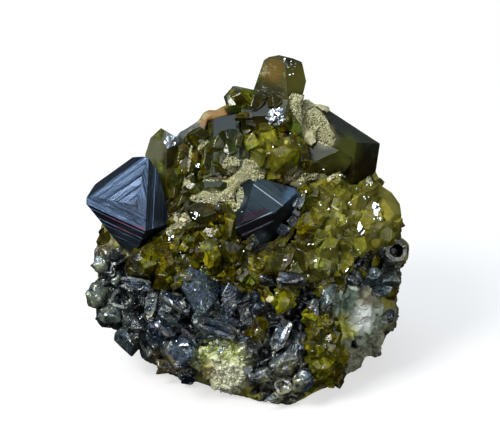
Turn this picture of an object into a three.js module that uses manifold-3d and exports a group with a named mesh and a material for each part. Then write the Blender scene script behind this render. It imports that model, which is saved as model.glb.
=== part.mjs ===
// Mineral specimen: two magnetite octahedra among olive diopside crystals on a crusted matrix.
// Lengths are in millimetres and +Z is up. The rock stands on a flat cut and its show face
// looks towards -Y.

import * as THREE from "three";
import { ConvexGeometry } from "three/addons/geometries/ConvexGeometry.js";
import { ConvexHull } from "three/addons/math/ConvexHull.js";
import { mergeVertices } from "three/addons/utils/BufferGeometryUtils.js";
import loadKernel from "manifold-3d";

const kernel = await loadKernel();
kernel.setup();

// Free space left round every crystal, and the thickness of the crystal crusts
const GAP = 0.3;
const CRUST = 1.3;

// Places on the show face are measured square to a line of sight that looks down this much
const SIGHT_DROP = THREE.MathUtils.degToRad(25);
const RIGHT = new THREE.Vector3(1, 0, 0);
const RISE = new THREE.Vector3(0, Math.sin(SIGHT_DROP), Math.cos(SIGHT_DROP));
const NEAR = new THREE.Vector3(0, -Math.cos(SIGHT_DROP), Math.sin(SIGHT_DROP));
const FAR_OFF = 100;
// How far back along the line of sight the beds of fused crystals reach round the rock
const BED_BACK = -12;

/** Direction or place from its shares across, up the show face and towards the viewer. */
function seen(across, up, near = 0) {
  return new THREE.Vector3()
    .addScaledVector(RIGHT, across)
    .addScaledVector(RISE, up)
    .addScaledVector(NEAR, near);
}

/** Repeatable random numbers from 0 to 1. */
function randomFrom(seed) {
  let state = seed;
  return () => {
    state = (state + 0x6d2b79f5) | 0;
    let mixed = Math.imul(state ^ (state >>> 15), 1 | state);
    mixed = (mixed + Math.imul(mixed ^ (mixed >>> 7), 61 | mixed)) ^ mixed;
    return ((mixed ^ (mixed >>> 14)) >>> 0) / 4294967296;
  };
}

/** Random number between two ends. */
function between(random, low, high) {
  return low + (high - low) * random();
}

/** Random direction, evenly spread. */
function anyDirection(random) {
  const height = between(random, -1, 1);
  const turn = between(random, 0, 2 * Math.PI);
  const reach = Math.sqrt(1 - height * height);
  return new THREE.Vector3(reach * Math.cos(turn), reach * Math.sin(turn), height);
}

// A convex body is a list of flats, each with its outward normal and its distance from the origin

/** Flats given by normals as seen on the show face and distances from the body's middle. */
function flatsRound(middle, flats) {
  return flats.map(([across, up, near, distance]) => {
    const normal = seen(across, up, near).normalize();
    return { normal, offset: normal.dot(middle) + distance };
  });
}

/** Flats of the hull round a set of corners. */
function flatsOfHull(corners) {
  const hull = new ConvexHull().setFromPoints(corners);
  const flats = [];
  for (const face of hull.faces) {
    const known = flats.some(
      (flat) =>
        flat.normal.dot(face.normal) > 0.999999 && Math.abs(flat.offset - face.constant) < 1e-4,
    );
    if (!known) flats.push({ normal: face.normal.clone(), offset: face.constant });
  }
  return flats;
}

/** Corners of a convex body, with its flats moved outwards by a distance. */
function cornersOf(flats, grow = 0) {
  const corners = [];
  const crossed = new THREE.Vector3();
  for (let i = 0; i < flats.length; i += 1) {
    for (let j = i + 1; j < flats.length; j += 1) {
      crossed.crossVectors(flats[i].normal, flats[j].normal);
      if (crossed.lengthSq() < 1e-8) continue;
      for (let k = j + 1; k < flats.length; k += 1) {
        const corner = meetingPoint(flats[i], flats[j], flats[k], grow);
        if (corner && isInside(flats, corner, grow) && isNew(corners, corner)) corners.push(corner);
      }
    }
  }
  return corners;
}

/** Point shared by three flats, or null where they have none. */
function meetingPoint(first, second, third, grow) {
  const across = new THREE.Vector3().crossVectors(second.normal, third.normal);
  const size = first.normal.dot(across);
  if (Math.abs(size) < 1e-5) return null;
  return across
    .multiplyScalar(first.offset + grow)
    .addScaledVector(
      new THREE.Vector3().crossVectors(third.normal, first.normal),
      second.offset + grow,
    )
    .addScaledVector(
      new THREE.Vector3().crossVectors(first.normal, second.normal),
      third.offset + grow,
    )
    .divideScalar(size);
}

/** Whether a point lies behind all the flats. */
function isInside(flats, point, grow) {
  return flats.every((flat) => flat.normal.dot(point) <= flat.offset + grow + 1e-6);
}

/** Whether a point is away from all those already found. */
function isNew(points, point) {
  return points.every((other) => other.distanceToSquared(point) > 1e-6);
}

/** Where a line first meets a convex body from outside, and the normal there, or null. */
function entryPoint(flats, from, direction) {
  let enters = -Infinity;
  let leaves = Infinity;
  let normal = null;
  for (const flat of flats) {
    const slope = flat.normal.dot(direction);
    const distance = (flat.offset - flat.normal.dot(from)) / slope;
    if (slope < 0 && distance > enters) {
      enters = distance;
      normal = flat.normal;
    }
    if (slope > 0) leaves = Math.min(leaves, distance);
  }
  if (enters > leaves) return null;
  return { point: from.clone().addScaledVector(direction, enters), normal };
}

/** Closed solid round a set of corners. */
function solidFromCorners(corners) {
  const hull = new ConvexGeometry(corners);
  hull.deleteAttribute("normal");
  const welded = mergeVertices(hull, 1e-5);
  const surface = new kernel.Mesh({
    numProp: 3,
    vertProperties: new Float32Array(welded.attributes.position.array),
    triVerts: new Uint32Array(welded.index.array),
  });
  return new kernel.Manifold(surface);
}

/** Closed solid of several convex bodies, grown by a distance. */
function solidFrom(bodies, grow = 0) {
  return bodies
    .map((flats) => solidFromCorners(cornersOf(flats, grow)))
    .reduce((joined, solid) => joined.add(solid));
}

/** The biggest of the loose bodies in a solid. */
function biggestBody(solid) {
  return solid
    .decompose()
    .reduce((best, body) => (body.volume() > best.volume() ? body : best));
}

// Rock

// Corners of the broken block under the crust: its rim, its bulging front and its back
const ROCK_RIM = [
  [6.7, 0, 0], [-1.3, 5, 0], [-7.7, 6, 2.2], [-15.7, 9, 3.5], [-20.8, 12, 7], [-25.2, 15, 12.6],
  [-24.6, 18, 21], [-22, 20, 28.9], [-15.7, 22, 35], [-8.5, 23, 37.2], [-2.6, 24, 43],
  [2.2, 24, 45.3], [10.2, 24, 43], [20.1, 22, 33.2], [23.3, 20, 25.3], [24.6, 19, 20.5],
  [24.4, 18, 10.4], [23.8, 17, 5.5], [21, 15, 3.8], [13, 8, 1.8],
];
const ROCK_FRONT = [
  [-7.7, 1, 13], [0.3, 2.6, 19.1], [11, 4, 16.9], [0.3, 8, 27], [0.3, 14.6, 35], [13, 13, 30.3],
  [-1, 0, 7], [12.6, 2.8, 8.6], [17.6, 8, 9], [19.5, 10.5, 20], [-14, 4.4, 10], [-19.5, 9.4, 14.5],
  [-14, 6.6, 22], [-15.5, 13.5, 30],
];
const ROCK_BACK = [
  [-15, 34, 3], [-17, 35, 20], [-11, 34, 30], [0, 32, 40], [9, 32, 38], [15, 35, 26], [17, 35, 10],
];
const ROCK_FOOT = [
  [-3, 4, 0], [-12, 12, 0], [-16, 22, 0], [-12, 32, 0], [5, 36, 0], [18, 30, 0], [20, 20, 0],
  [15, 9, 0],
];

/** Flats of the broken block. */
function rockFlats() {
  const corners = [ROCK_RIM, ROCK_FRONT, ROCK_BACK, ROCK_FOOT].flat();
  return flatsOfHull(corners.map((corner) => new THREE.Vector3(...corner)));
}

const ROCK = rockFlats();
const ROCK_MIDDLE = new THREE.Vector3(0, 20, 18);

/** Place and normal of the block's surface behind a place on the show face. */
function onRock(across, up) {
  return entryPoint(ROCK, seen(across, up, FAR_OFF), NEAR.clone().negate());
}

/** Place on the show face, lifted from the block's surface towards the viewer. */
function setOnRock(across, up, lift) {
  return onRock(across, up).point.addScaledVector(NEAR, lift);
}

/** Flats of an angular lump that bulges from a place on the block. */
function lumpFlats(random, middle, radius, squash = 1) {
  const unit = new THREE.IcosahedronGeometry(1, 0);
  const welded = mergeVertices(unit.deleteAttribute("normal").deleteAttribute("uv"), 1e-4);
  const turn = new THREE.Quaternion().setFromAxisAngle(
    anyDirection(random),
    between(random, 0, Math.PI),
  );
  const corners = [];
  for (let i = 0; i < welded.attributes.position.count; i += 1) {
    const corner = new THREE.Vector3().fromBufferAttribute(welded.attributes.position, i);
    corner.multiplyScalar(radius * between(random, 0.82, 1.16));
    corner.z *= squash;
    corners.push(corner.applyQuaternion(turn).add(middle));
  }
  return flatsOfHull(corners);
}

/** Lumps of one size range, standing out by a share of their radius over a round patch. */
function lumpsInPatch(random, { across, up, reach, count, radius, out }) {
  const lumps = [];
  for (let i = 0; i < count; i += 1) {
    const away = reach * Math.sqrt((i + random()) / count);
    const turn = i * 2.4 + between(random, -0.3, 0.3);
    const hit = onRock(across + away * Math.cos(turn), up + away * Math.sin(turn));
    if (!hit) continue;
    const size = between(random, ...radius);
    const middle = hit.point.addScaledVector(hit.normal, (out - 1) * size);
    lumps.push(lumpFlats(random, middle, size, between(random, 0.7, 1)));
  }
  return lumps;
}

// Patches of crust on the show face, by middle, reach, number of lumps, their radii and the share
// of it by which they stand out
const CRUST_PATCHES = [
  { across: -17.5, up: 15.5, reach: 8.2, count: 13, radius: [1.9, 3], out: 0.75 },
  { across: -8.5, up: 14.5, reach: 6, count: 9, radius: [2, 3], out: 0.75 },
  { across: 0.5, up: 13, reach: 5.5, count: 8, radius: [1.8, 2.9], out: 0.75 },
  { across: 8, up: 17.5, reach: 4.6, count: 6, radius: [1.7, 2.7], out: 0.8 },
  { across: 5, up: 6, reach: 5.5, count: 8, radius: [1.7, 2.6], out: 0.65 },
  { across: 19.5, up: 21.5, reach: 4.4, count: 6, radius: [1.7, 2.6], out: 0.7 },
  { across: 19, up: 10, reach: 4.6, count: 4, radius: [2, 3], out: 0.5 },
  { across: -22.5, up: 23, reach: 2.6, count: 3, radius: [1.6, 2.4], out: 0.6 },
];

// Sandy patches between the upper crystals
const SAND_PATCHES = [
  { across: 10, up: 45, reach: 4, count: 6, radius: [1.6, 2.5], out: 0.7 },
  { across: 0.6, up: 37.6, reach: 2.6, count: 4, radius: [1.6, 2.3], out: 0.7 },
  { across: -5.5, up: 33.8, reach: 2.6, count: 4, radius: [1.4, 2.1], out: 0.7 },
  { across: -8.5, up: 44.5, reach: 3, count: 4, radius: [1.4, 2.2], out: 0.55 },
  { across: -8.5, up: 38, reach: 2.5, count: 3, radius: [1.5, 2.3], out: 0.6 },
];

/** Lumps round the rim of the show face. */
function rimLumps(random) {
  const lumps = [];
  const count = 30;
  for (let i = 0; i < count; i += 1) {
    const turn = ((i + between(random, -0.25, 0.25)) / count) * 2 * Math.PI;
    const outward = seen(Math.cos(turn), Math.sin(turn));
    const far = ROCK_MIDDLE.clone().addScaledVector(outward, FAR_OFF);
    const hit = entryPoint(ROCK, far, outward.negate());
    const size = between(random, 2, 3.1);
    const middle = hit.point.addScaledVector(hit.normal, between(random, 0.7, 1.3) - size);
    lumps.push(lumpFlats(random, middle, size));
  }
  return lumps;
}

/** Bigger, deeper lumps over the sides and the back. */
function backLumps(random) {
  const lumps = [];
  const count = 56;
  for (let i = 0; i < count; i += 1) {
    const height = 1 - (2 * (i + 0.5)) / count;
    const turn = i * Math.PI * (3 - Math.sqrt(5));
    const reach = Math.sqrt(1 - height * height);
    const outward = new THREE.Vector3(reach * Math.cos(turn), reach * Math.sin(turn), height);
    const far = ROCK_MIDDLE.clone().addScaledVector(outward, FAR_OFF);
    const hit = entryPoint(ROCK, far, outward.negate());
    const faces = hit.normal.dot(NEAR);
    if (faces > -0.1 || hit.normal.z < -0.9) continue;
    const size = between(random, 3.4, 5.4);
    const out = faces > -0.35 ? 0.2 : between(random, 0.9, 1.9);
    const middle = hit.point.addScaledVector(hit.normal, out - size);
    lumps.push(lumpFlats(random, middle, size, between(random, 0.6, 1)));
  }
  return lumps;
}

// Lumps that stand out by themselves: the pale knob at the right, the ledge at the lower right,
// the shoulder under the large octahedron and the ring round the open tube
const KNOB = { across: 17.3, up: 14.6, radius: 4.6, lift: -2.4 };
const LEDGES = [
  { across: 19.3, up: 10.4, radius: 3.2, lift: -1.6 },
  { across: -21.5, up: 22.5, radius: 3.2, lift: -1.6 },
  { across: -9.5, up: 17.3, radius: 2.9, lift: -0.9 },
  { across: 8.2, up: 16.4, radius: 2.6, lift: -0.7 },
];
const TUBE = { across: 23.6, up: 24.7, bore: 1.3, rim: 2.5, depth: 3 };

/** Lumps that stand out by themselves. */
function singleLumps(random) {
  return [KNOB, ...LEDGES].map(({ across, up, radius, lift }) =>
    lumpFlats(random, setOnRock(across, up, lift), radius),
  );
}

/** Upright eight-sided post along the line of sight. */
function postFlats(middle, radius, back, front) {
  const sides = [];
  for (let i = 0; i < 8; i += 1) {
    const turn = (i * Math.PI) / 4;
    sides.push([Math.cos(turn), Math.sin(turn), 0, radius]);
  }
  return flatsRound(middle, [...sides, [0, 0, 1, front], [0, 0, -1, back]]);
}

/** Middle of the open tube's mouth. */
function tubeMouth() {
  return seen(TUBE.across, TUBE.up, onRock(22.8, 24.7).point.dot(NEAR) + 0.9);
}

// Hollows of the crust, by place, radius and depth
const HOLLOWS = [
  { across: -17.5, up: 23.2, radius: 2.2 },
  { across: -12.5, up: 20.8, radius: 1.6 },
  { across: -5, up: 18.2, radius: 1.7 },
  { across: 17.5, up: 23, radius: 1.5 },
  { across: 20.6, up: 21.4, radius: 1.4 },
  { across: 5.6, up: 14.6, radius: 1.5 },
  { across: -3.2, up: 12.6, radius: 1.6 },
  { across: -20.5, up: 12.4, radius: 1.3 },
  { across: 11.2, up: 19, radius: 1.4 },
];

/** Everything cut out of the rock's surface. */
function hollowBodies(random) {
  const hollows = HOLLOWS.map(({ across, up, radius }) =>
    lumpFlats(random, setOnRock(across, up, 0.7), radius),
  );
  hollows.push(postFlats(tubeMouth(), TUBE.bore, TUBE.depth, 3));
  return hollows;
}

/** Wide block under the flat cut. */
function belowBase() {
  const corners = [-60, 60].flatMap((x) =>
    [-60, 60].flatMap((y) => [-30, 0].map((z) => new THREE.Vector3(x, y, z))),
  );
  return solidFromCorners(corners);
}

/** Rock with its lumps and hollows, cut to clear every crystal. */
function buildMatrix(clearances, crustClearance) {
  const random = randomFrom(41);
  const lumps = [
    ...CRUST_PATCHES.flatMap((patch) => lumpsInPatch(random, patch)),
    ...SAND_PATCHES.flatMap((patch) => lumpsInPatch(random, patch)),
    ...rimLumps(random),
    ...backLumps(random),
    ...singleLumps(random),
    postFlats(tubeMouth(), TUBE.rim, TUBE.depth, 0),
  ];
  let rock = solidFrom(lumps).subtract(crustClearance).add(solidFrom([ROCK]));
  rock = rock.subtract(solidFrom(hollowBodies(random)));
  for (const clearance of clearances) rock = rock.subtract(clearance);
  return biggestBody(rock.subtract(belowBase()));
}

// Magnetite

/** Flats of an octahedron with distorted faces, and of the extra cuts on it. */
function octahedronFlats(middle, axes, faces, cuts) {
  const eight = faces.map(([a, b, c, distance]) => [
    a * axes.a[0] + b * axes.b[0] + c * axes.c[0],
    a * axes.a[1] + b * axes.b[1] + c * axes.c[1],
    a * axes.a[2] + b * axes.b[2] + c * axes.c[2],
    distance,
  ]);
  return flatsRound(middle, [...eight, ...cuts]);
}

const LARGE_MAGNETITE = {
  across: -17.2,
  up: 31.4,
  lift: 0.5,
  axes: { a: [-0.982, 0.105, 0.158], b: [0.155, 0.917, 0.367], c: [0.101, -0.383, 0.918] },
  // Eight faces, the smooth strip along the upper left edge and the blunted lower corner
  faces: [
    [1, 1, 1, 5.1], [-1, 1, 1, 5.1], [1, -1, 1, 5.1], [1, 1, -1, 7.55], [1, -1, -1, 5.1],
    [-1, 1, -1, 5.1], [-1, -1, 1, 5.1], [-1, -1, -1, 5.1], [1, 1, 0, 6.8], [0, -1, 0, 7.4],
  ],
  cuts: [[-0.814, 0.581, 0, 8.35], [0.954, 0.227, -0.196, 3.6]],
};

const MIDDLE_MAGNETITE = {
  across: 2.0,
  up: 30.2,
  lift: 0.2,
  axes: { a: [-0.283, 0.96, 0], b: [-0.6, -0.177, 0.78], c: [0.749, 0.22, 0.625] },
  faces: [
    [1, 1, 1, 3.5], [-1, 1, 1, 3.5], [1, 1, -1, 4.65], [1, -1, 1, 7], [-1, -1, 1, 4.8],
    [-1, 1, -1, 4.4], [1, -1, -1, 4.8], [-1, -1, -1, 4.8], [1, 1, 0, 3.9], [-1, 0, 1, 3.1],
    [-1, 0, 0, 4.3],
  ],
  cuts: [[0.292, 0.956, 0, 6], [0.96, 0.28, 0, 6.6], [-1, 0.03, 0, 3.9]],
};

/** Flats of one magnetite crystal. */
function magnetiteFlats({ across, up, lift, axes, faces, cuts }) {
  return octahedronFlats(setOnRock(across, up, lift), axes, faces, cuts);
}

// Diopside

// The named crystals, each by its middle and its faces as seen on the show face
const LEFT_BLADE = {
  across: -13.1,
  up: 38,
  near: -4,
  faces: [
    [-0.607, 0, 0.794, 2.12], [0.555, 0, 0.832, 2.11], [-0.555, 0, -0.832, 1.94],
    [0.607, 0, -0.794, 1.97], [-0.672, 0.742, 0, 5.42], [-0.953, 0.303, 0, 3.99],
    [0.763, 0.646, 0, 4.6], [0.514, 0.857, 0, 5.16], [0, -1, 0, 5.5],
  ],
};
const LEFT_BLOCK = {
  across: -12.2,
  up: 35.2,
  near: -1.9,
  faces: [
    [-0.6, 0.1, 0.79, 2.4], [0.75, 0.12, 0.65, 2.3], [-0.8, 0, -0.6, 2.4], [0.6, 0, -0.8, 2.6],
    [-0.2, 0.9, 0.39, 2.7], [0.1, -0.95, 0.3, 2.8],
  ],
};
const LEFT_FIN = {
  across: -8.5,
  up: 38.2,
  near: -1.3,
  faces: [
    [-0.8, 0, 0.6, 1.5], [0.7, 0.1, 0.7, 1.4], [-0.7, 0, -0.7, 1.6], [0.8, 0, -0.6, 1.6],
    [-0.5, 0.85, 0.15, 3.1], [0.6, 0.78, 0.15, 3.3], [-0.2, -0.95, 0.2, 3.2],
  ],
};
const CENTRE_BLOCK = {
  across: -3.5,
  up: 42.4,
  near: -1.9,
  faces: [
    [-0.08, 0.42, 0.904, 2.4], [-0.93, 0.16, 0.33, 2.7], [-0.2, 0.96, -0.2, 3.7], [1, 0, 0, 2.1],
    [0, 0, -1, 3.2], [0, -1, 0, 4],
  ],
};
const CENTRE_WEDGE = {
  across: -2.6,
  up: 39.9,
  near: -0.9,
  faces: [
    [0.22, 0.1, 0.97, 2.1], [0.858, 0.515, 0.1, 3], [-0.55, 0.2, 0.81, 2.5], [-0.95, 0.3, 0.1, 4.2],
    [0, 0.9, -0.45, 3.2], [0, 0, -1, 3.2], [-0.35, -0.93, 0.1, 3.4], [0.55, -0.8, 0.2, 2.6],
  ],
};
const CENTRE_FRONT = {
  across: -5.1,
  up: 38.9,
  near: -0.7,
  faces: [
    [-0.45, 0.25, 0.857, 2.2], [0.5, 0.12, 0.857, 2.1], [-0.98, 0.1, 0.15, 2.1],
    [0.9, 0.35, 0.25, 2.3], [-0.15, 0.9, 0.4, 2.5], [0.1, -0.9, 0.42, 3], [0, 0, -1, 3],
  ],
};
const CENTRE_LENS = {
  across: -3.9,
  up: 34.7,
  near: -0.9,
  faces: [
    [-0.1, 0.5, 0.86, 1.5], [-0.05, -0.45, 0.89, 1.5], [-0.7, 0.68, 0.2, 2.6],
    [-0.62, -0.75, 0.2, 2.6], [0.5, 0.85, 0.2, 2.3], [0.3, -0.93, 0.2, 1.6], [1, 0, 0, 3.4],
    [0, 0, -1, 2.4],
  ],
};
const SUMMIT_CRYSTAL = {
  across: 5.2,
  up: 51.5,
  near: -3.6,
  faces: [
    [-0.32, 0.05, 0.946, 2.9], [0.72, 0.1, 0.69, 3.0], [-0.945, 0.327, 0, 3.8],
    [-0.154, 0.988, -0.1, 4.4], [0.385, 0.923, 0.1, 4.5], [-0.72, 0.69, 0.1, 4.6],
    [0.976, 0.217, 0, 4.2], [0.97, -0.243, 0, 3.9], [-0.2, 0, -0.98, 3], [0, -1, 0, 5],
  ],
};
const SUMMIT_LUMP = {
  across: -1.5,
  up: 49,
  near: -2.2,
  faces: [
    [-0.2, 0.3, 0.93, 1.9], [-0.75, 0.65, 0.1, 2], [-0.95, -0.3, 0.1, 1.9], [0.2, 0.97, 0, 2.1],
    [0.5, 0.2, 0.84, 2], [0, -0.8, 0.6, 2], [1, 0, 0, 3], [0, -1, 0, 2.2], [0, 0, -1, 2.4],
  ],
};
const SUMMIT_BAR = {
  across: 2.9,
  up: 46.2,
  near: -0.9,
  faces: [
    [-0.1, 0.62, 0.78, 2.2], [-0.05, -0.5, 0.86, 2.2], [0, 0.95, -0.3, 2.4], [0.9, 0.1, 0.42, 3.9],
    [-1, 0, 0, 4], [0, -1, 0, 2.2], [0, 0, -1, 2.6],
  ],
};
const SUMMIT_NEEDLE = {
  across: 7.2,
  up: 44.6,
  near: -0.7,
  faces: [
    [-0.7, 0.1, 0.7, 1], [0.7, 0.1, 0.7, 1], [-0.7, 0, -0.7, 1.1], [0.7, 0, -0.7, 1.1],
    [-0.3, 0.9, 0.3, 2.7], [0, -1, 0, 3],
  ],
};
const RIGHT_PRISM = {
  across: 15.5,
  up: 41,
  near: -2.8,
  faces: [
    [0.42, 0.8, 0.43, 3], [-0.4, -0.262, 0.879, 1.6], [0.4, 0.262, -0.879, 3.1],
    [-0.42, -0.8, -0.43, 3.7], [0.64, -0.34, 0.69, 2.9], [-0.807, 0.555, -0.202, 8],
    [0.9, 0.43, 0, 5.6], [0.75, -0.62, 0.1, 5.8],
  ],
};
const RIGHT_LOWER = {
  across: 11.6,
  up: 39.2,
  near: -2.2,
  faces: [
    [-0.25, 0.45, 0.86, 2.3], [0.1, -0.35, 0.93, 2.2], [-0.8, 0.58, 0.15, 4.3],
    [-0.9, -0.4, 0.15, 4.5], [0.42, 0.9, 0, 2.8], [-0.3, -0.95, 0.1, 2.9], [0.75, -0.62, 0.2, 4.2],
    [0.95, 0.2, 0.25, 5], [0, 0, -1, 3],
  ],
};

/** Flats of one named crystal. */
function namedFlats({ across, up, near, faces }) {
  return flatsRound(seen(across, up, near), faces);
}

/** Flats of a stubby prism that stands on a foot: four sides and a slanting, bevelled end. */
function prismFlats(foot, axis, roll, width, depth, length, slant) {
  const side = new THREE.Vector3(1, 0, 0).cross(axis);
  if (side.lengthSq() < 0.01) side.set(0, 1, 0);
  side.normalize().applyAxisAngle(axis, roll);
  const third = axis.clone().cross(side);
  const flats = [];
  const addFlat = (normal, distance) => {
    normal.normalize();
    flats.push({ normal, offset: normal.dot(foot) + distance });
  };
  for (const sign of [-1, 1]) {
    addFlat(side.clone().multiplyScalar(sign), width / 2);
    addFlat(third.clone().multiplyScalar(sign), depth / 2);
  }
  const top = axis.clone().addScaledVector(side, slant).normalize();
  addFlat(top, length * top.dot(axis));
  const shoulder = axis.clone().addScaledVector(side, -0.9).addScaledVector(third, 0.5).normalize();
  addFlat(shoulder, 1.04 * length * shoulder.dot(axis));
  addFlat(axis.clone().negate(), 0.6 * length);
  return flats;
}

// Convex patches of the show face covered by the fused small crystals, by their corners
const DRUSE_PATCHES = [
  [[8.3, 34.6], [15.5, 35.4], [20.3, 35.4], [24.4, 30.6], [24.8, 26.9], [21.1, 25], [8.3, 25.5]],
  [[-0.5, 23], [0.3, 25.5], [8.3, 27.5], [17, 25.5], [16.3, 23], [15.3, 17.8], [8.3, 19.5]],
  [[-17.3, 23], [-12.5, 30.6], [-7.7, 33], [-2.1, 33], [-1.3, 20], [-14.1, 20.5]],
  [[-2.2, 27], [2.2, 25], [4, 20], [-2.2, 19.8]],
];
const UPPER_PATCHES = [[[-1, 44.2], [8.3, 44.6], [10.5, 38.6], [5.9, 35.8], [1.1, 39.4]]];
const COLUMN_PATCHES = [[[9.3, 15.2], [13.2, 15.4], [15.2, 9], [14.6, 3.9], [11, 3.4], [9.6, 9]]];
const POCKET_PATCHES = [[[5, 15.6], [4.7, 19.2], [7.2, 19.6], [7.4, 15.8]]];
const GRANULAR_PATCHES = [[[-8.6, 8.8], [-5.5, 9.9], [-1.6, 8.4], [-0.4, 4.4], [-3, 2.4], [-7, 4.6]]];

/** Whether a place lies inside a convex patch whose corners run clockwise. */
function isInPatch(patch, across, up) {
  const middle = middleOf(patch);
  return patch.every(([x, y], i) => {
    const [nextX, nextY] = patch[(i + 1) % patch.length];
    const sideOf = (px, py) => (nextX - x) * (py - y) - (nextY - y) * (px - x);
    return sideOf(across, up) * sideOf(...middle) >= 0;
  });
}

/** Middle of a patch's corners. */
function middleOf(patch) {
  return [0, 1].map((k) => patch.reduce((sum, corner) => sum + corner[k], 0) / patch.length);
}

/** Bed of the fused crystals of some patches, grown by a distance. */
function bedOf(patches, grow = 0) {
  const columns = patches.map((patch) =>
    flatsOfHull(
      patch.flatMap(([across, up]) => [seen(across, up, BED_BACK), seen(across, up, FAR_OFF)]),
    ),
  );
  return solidFrom(columns, grow).intersect(solidFrom([ROCK], CRUST + grow));
}

/** Small crystals standing on a patch, one for each cell of a grid. */
function patchCrystals(random, patch, { spacing, width, length, lean }) {
  const lows = [0, 1].map((k) => Math.min(...patch.map((corner) => corner[k])));
  const highs = [0, 1].map((k) => Math.max(...patch.map((corner) => corner[k])));
  const crystals = [];
  for (let row = 0; lows[1] + row * spacing < highs[1] + spacing; row += 1) {
    for (let column = 0; lows[0] + column * spacing < highs[0] + spacing; column += 1) {
      const across = lows[0] + (column + 0.5 * (row % 2) + between(random, -0.3, 0.3)) * spacing;
      const up = lows[1] + (row + between(random, -0.3, 0.3)) * spacing;
      const hit = onRock(across, up);
      if (!hit || !isInPatch(patch, across, up)) continue;
      const axis = hit.normal.clone().addScaledVector(anyDirection(random), lean).normalize();
      const wide = between(random, ...width);
      crystals.push(
        prismFlats(
          hit.point.addScaledVector(hit.normal, 0.4),
          axis,
          between(random, 0, Math.PI),
          wide,
          wide * between(random, 0.7, 1),
          between(random, ...length),
          between(random, 0.3, 0.9),
        ),
      );
    }
  }
  return crystals;
}

/** Bodies of a crust of fused crystals: the crystals and the bed under them. */
function crustOf(seed, patches, look) {
  const random = randomFrom(seed);
  const crystals = patches.flatMap((patch) => patchCrystals(random, patch, look));
  return {
    solid: solidFrom(crystals).add(bedOf(patches)).subtract(solidFrom([ROCK], GAP)),
    clearance: solidFrom(crystals, GAP).add(bedOf(patches, GAP)),
  };
}

// Bigger crystals that lie among the small ones: place, lift off the rock, turn of their length from
// straight up, width, length, and how far their front ridge is off their middle
const DRUSE_BLOCKS = [
  { across: -7.3, up: 29.7, lift: 0.9, turn: 0.35, width: 5, length: 6, ridge: -0.2 },
  { across: -2.9, up: 28.2, lift: 0.8, turn: -0.2, width: 2.7, length: 5.2, ridge: 0.1 },
  { across: -15.1, up: 24.2, lift: 0.9, turn: 0.7, width: 4, length: 6.4, ridge: 0.2 },
  { across: -11.3, up: 25.8, lift: 1.1, turn: 0.05, width: 2.6, length: 6, ridge: -0.1 },
  { across: -8.6, up: 23.4, lift: 0.9, turn: -0.25, width: 2.5, length: 3.8, ridge: 0.2 },
  { across: -5, up: 24.8, lift: 0.8, turn: 1.2, width: 3.2, length: 5, ridge: -0.3 },
  { across: 5, up: 37.6, lift: 1, turn: 0.5, width: 4, length: 5.2, ridge: 0.2 },
  { across: 0.9, up: 41.6, lift: 0.7, turn: -0.9, width: 3, length: 4, ridge: 0 },
  { across: 11.3, up: 32.6, lift: 0.7, turn: 0.2, width: 3.2, length: 4.4, ridge: 0.2 },
  { across: 16, up: 29.5, lift: 0.9, turn: 0.9, width: 3.6, length: 4.6, ridge: -0.2 },
  { across: 21.8, up: 30.4, lift: 0.6, turn: -0.6, width: 3.4, length: 5, ridge: 0.1 },
  { across: 6.4, up: 23.6, lift: 0.9, turn: 0.3, width: 3.2, length: 4.6, ridge: 0.2 },
];

/** Flats of a crystal that lies on the rock with two long faces towards the viewer. */
function lyingFlats({ across, up, lift, turn, width, length, ridge }) {
  const middle = setOnRock(across, up, lift);
  const flatTowards = (side, along, near, distance) => [
    side * Math.cos(turn) + along * Math.sin(turn),
    along * Math.cos(turn) - side * Math.sin(turn),
    near,
    distance,
  ];
  const slope = 0.5;
  return flatsRound(middle, [
    flatTowards(-slope, 0.05, 0.85, 0.3 * width * (1 - ridge)),
    flatTowards(slope, -0.05, 0.85, 0.3 * width * (1 + ridge)),
    flatTowards(-1, 0, 0.2, 0.5 * width),
    flatTowards(1, 0, 0.2, 0.5 * width),
    flatTowards(0.3, 0.9, 0.3, 0.45 * length),
    flatTowards(-0.75, 0.65, 0.1, 0.42 * length),
    flatTowards(-0.15, -0.95, 0.3, 0.46 * length),
    flatTowards(0, 0, -1, 0.6 * width),
  ]);
}

// Assembly

const DIOPSIDE = { color: 0x6f7414, roughness: 0.2, metalness: 0 };
const PALE_DIOPSIDE = { color: 0x9a9c3c, roughness: 0.35, metalness: 0 };
const GREY_DIOPSIDE = { color: 0x4f5a36, roughness: 0.2, metalness: 0 };
const MAGNETITE = { color: 0x4a5870, roughness: 0.35, metalness: 0.9 };
const MATRIX_ROCK = { color: 0x4c5450, roughness: 0.6, metalness: 0 };

/** Solid and clearance of a body made of convex crystals. */
function crystalsOf(bodies) {
  return { solid: solidFrom(bodies), clearance: solidFrom(bodies, GAP) };
}

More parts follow.
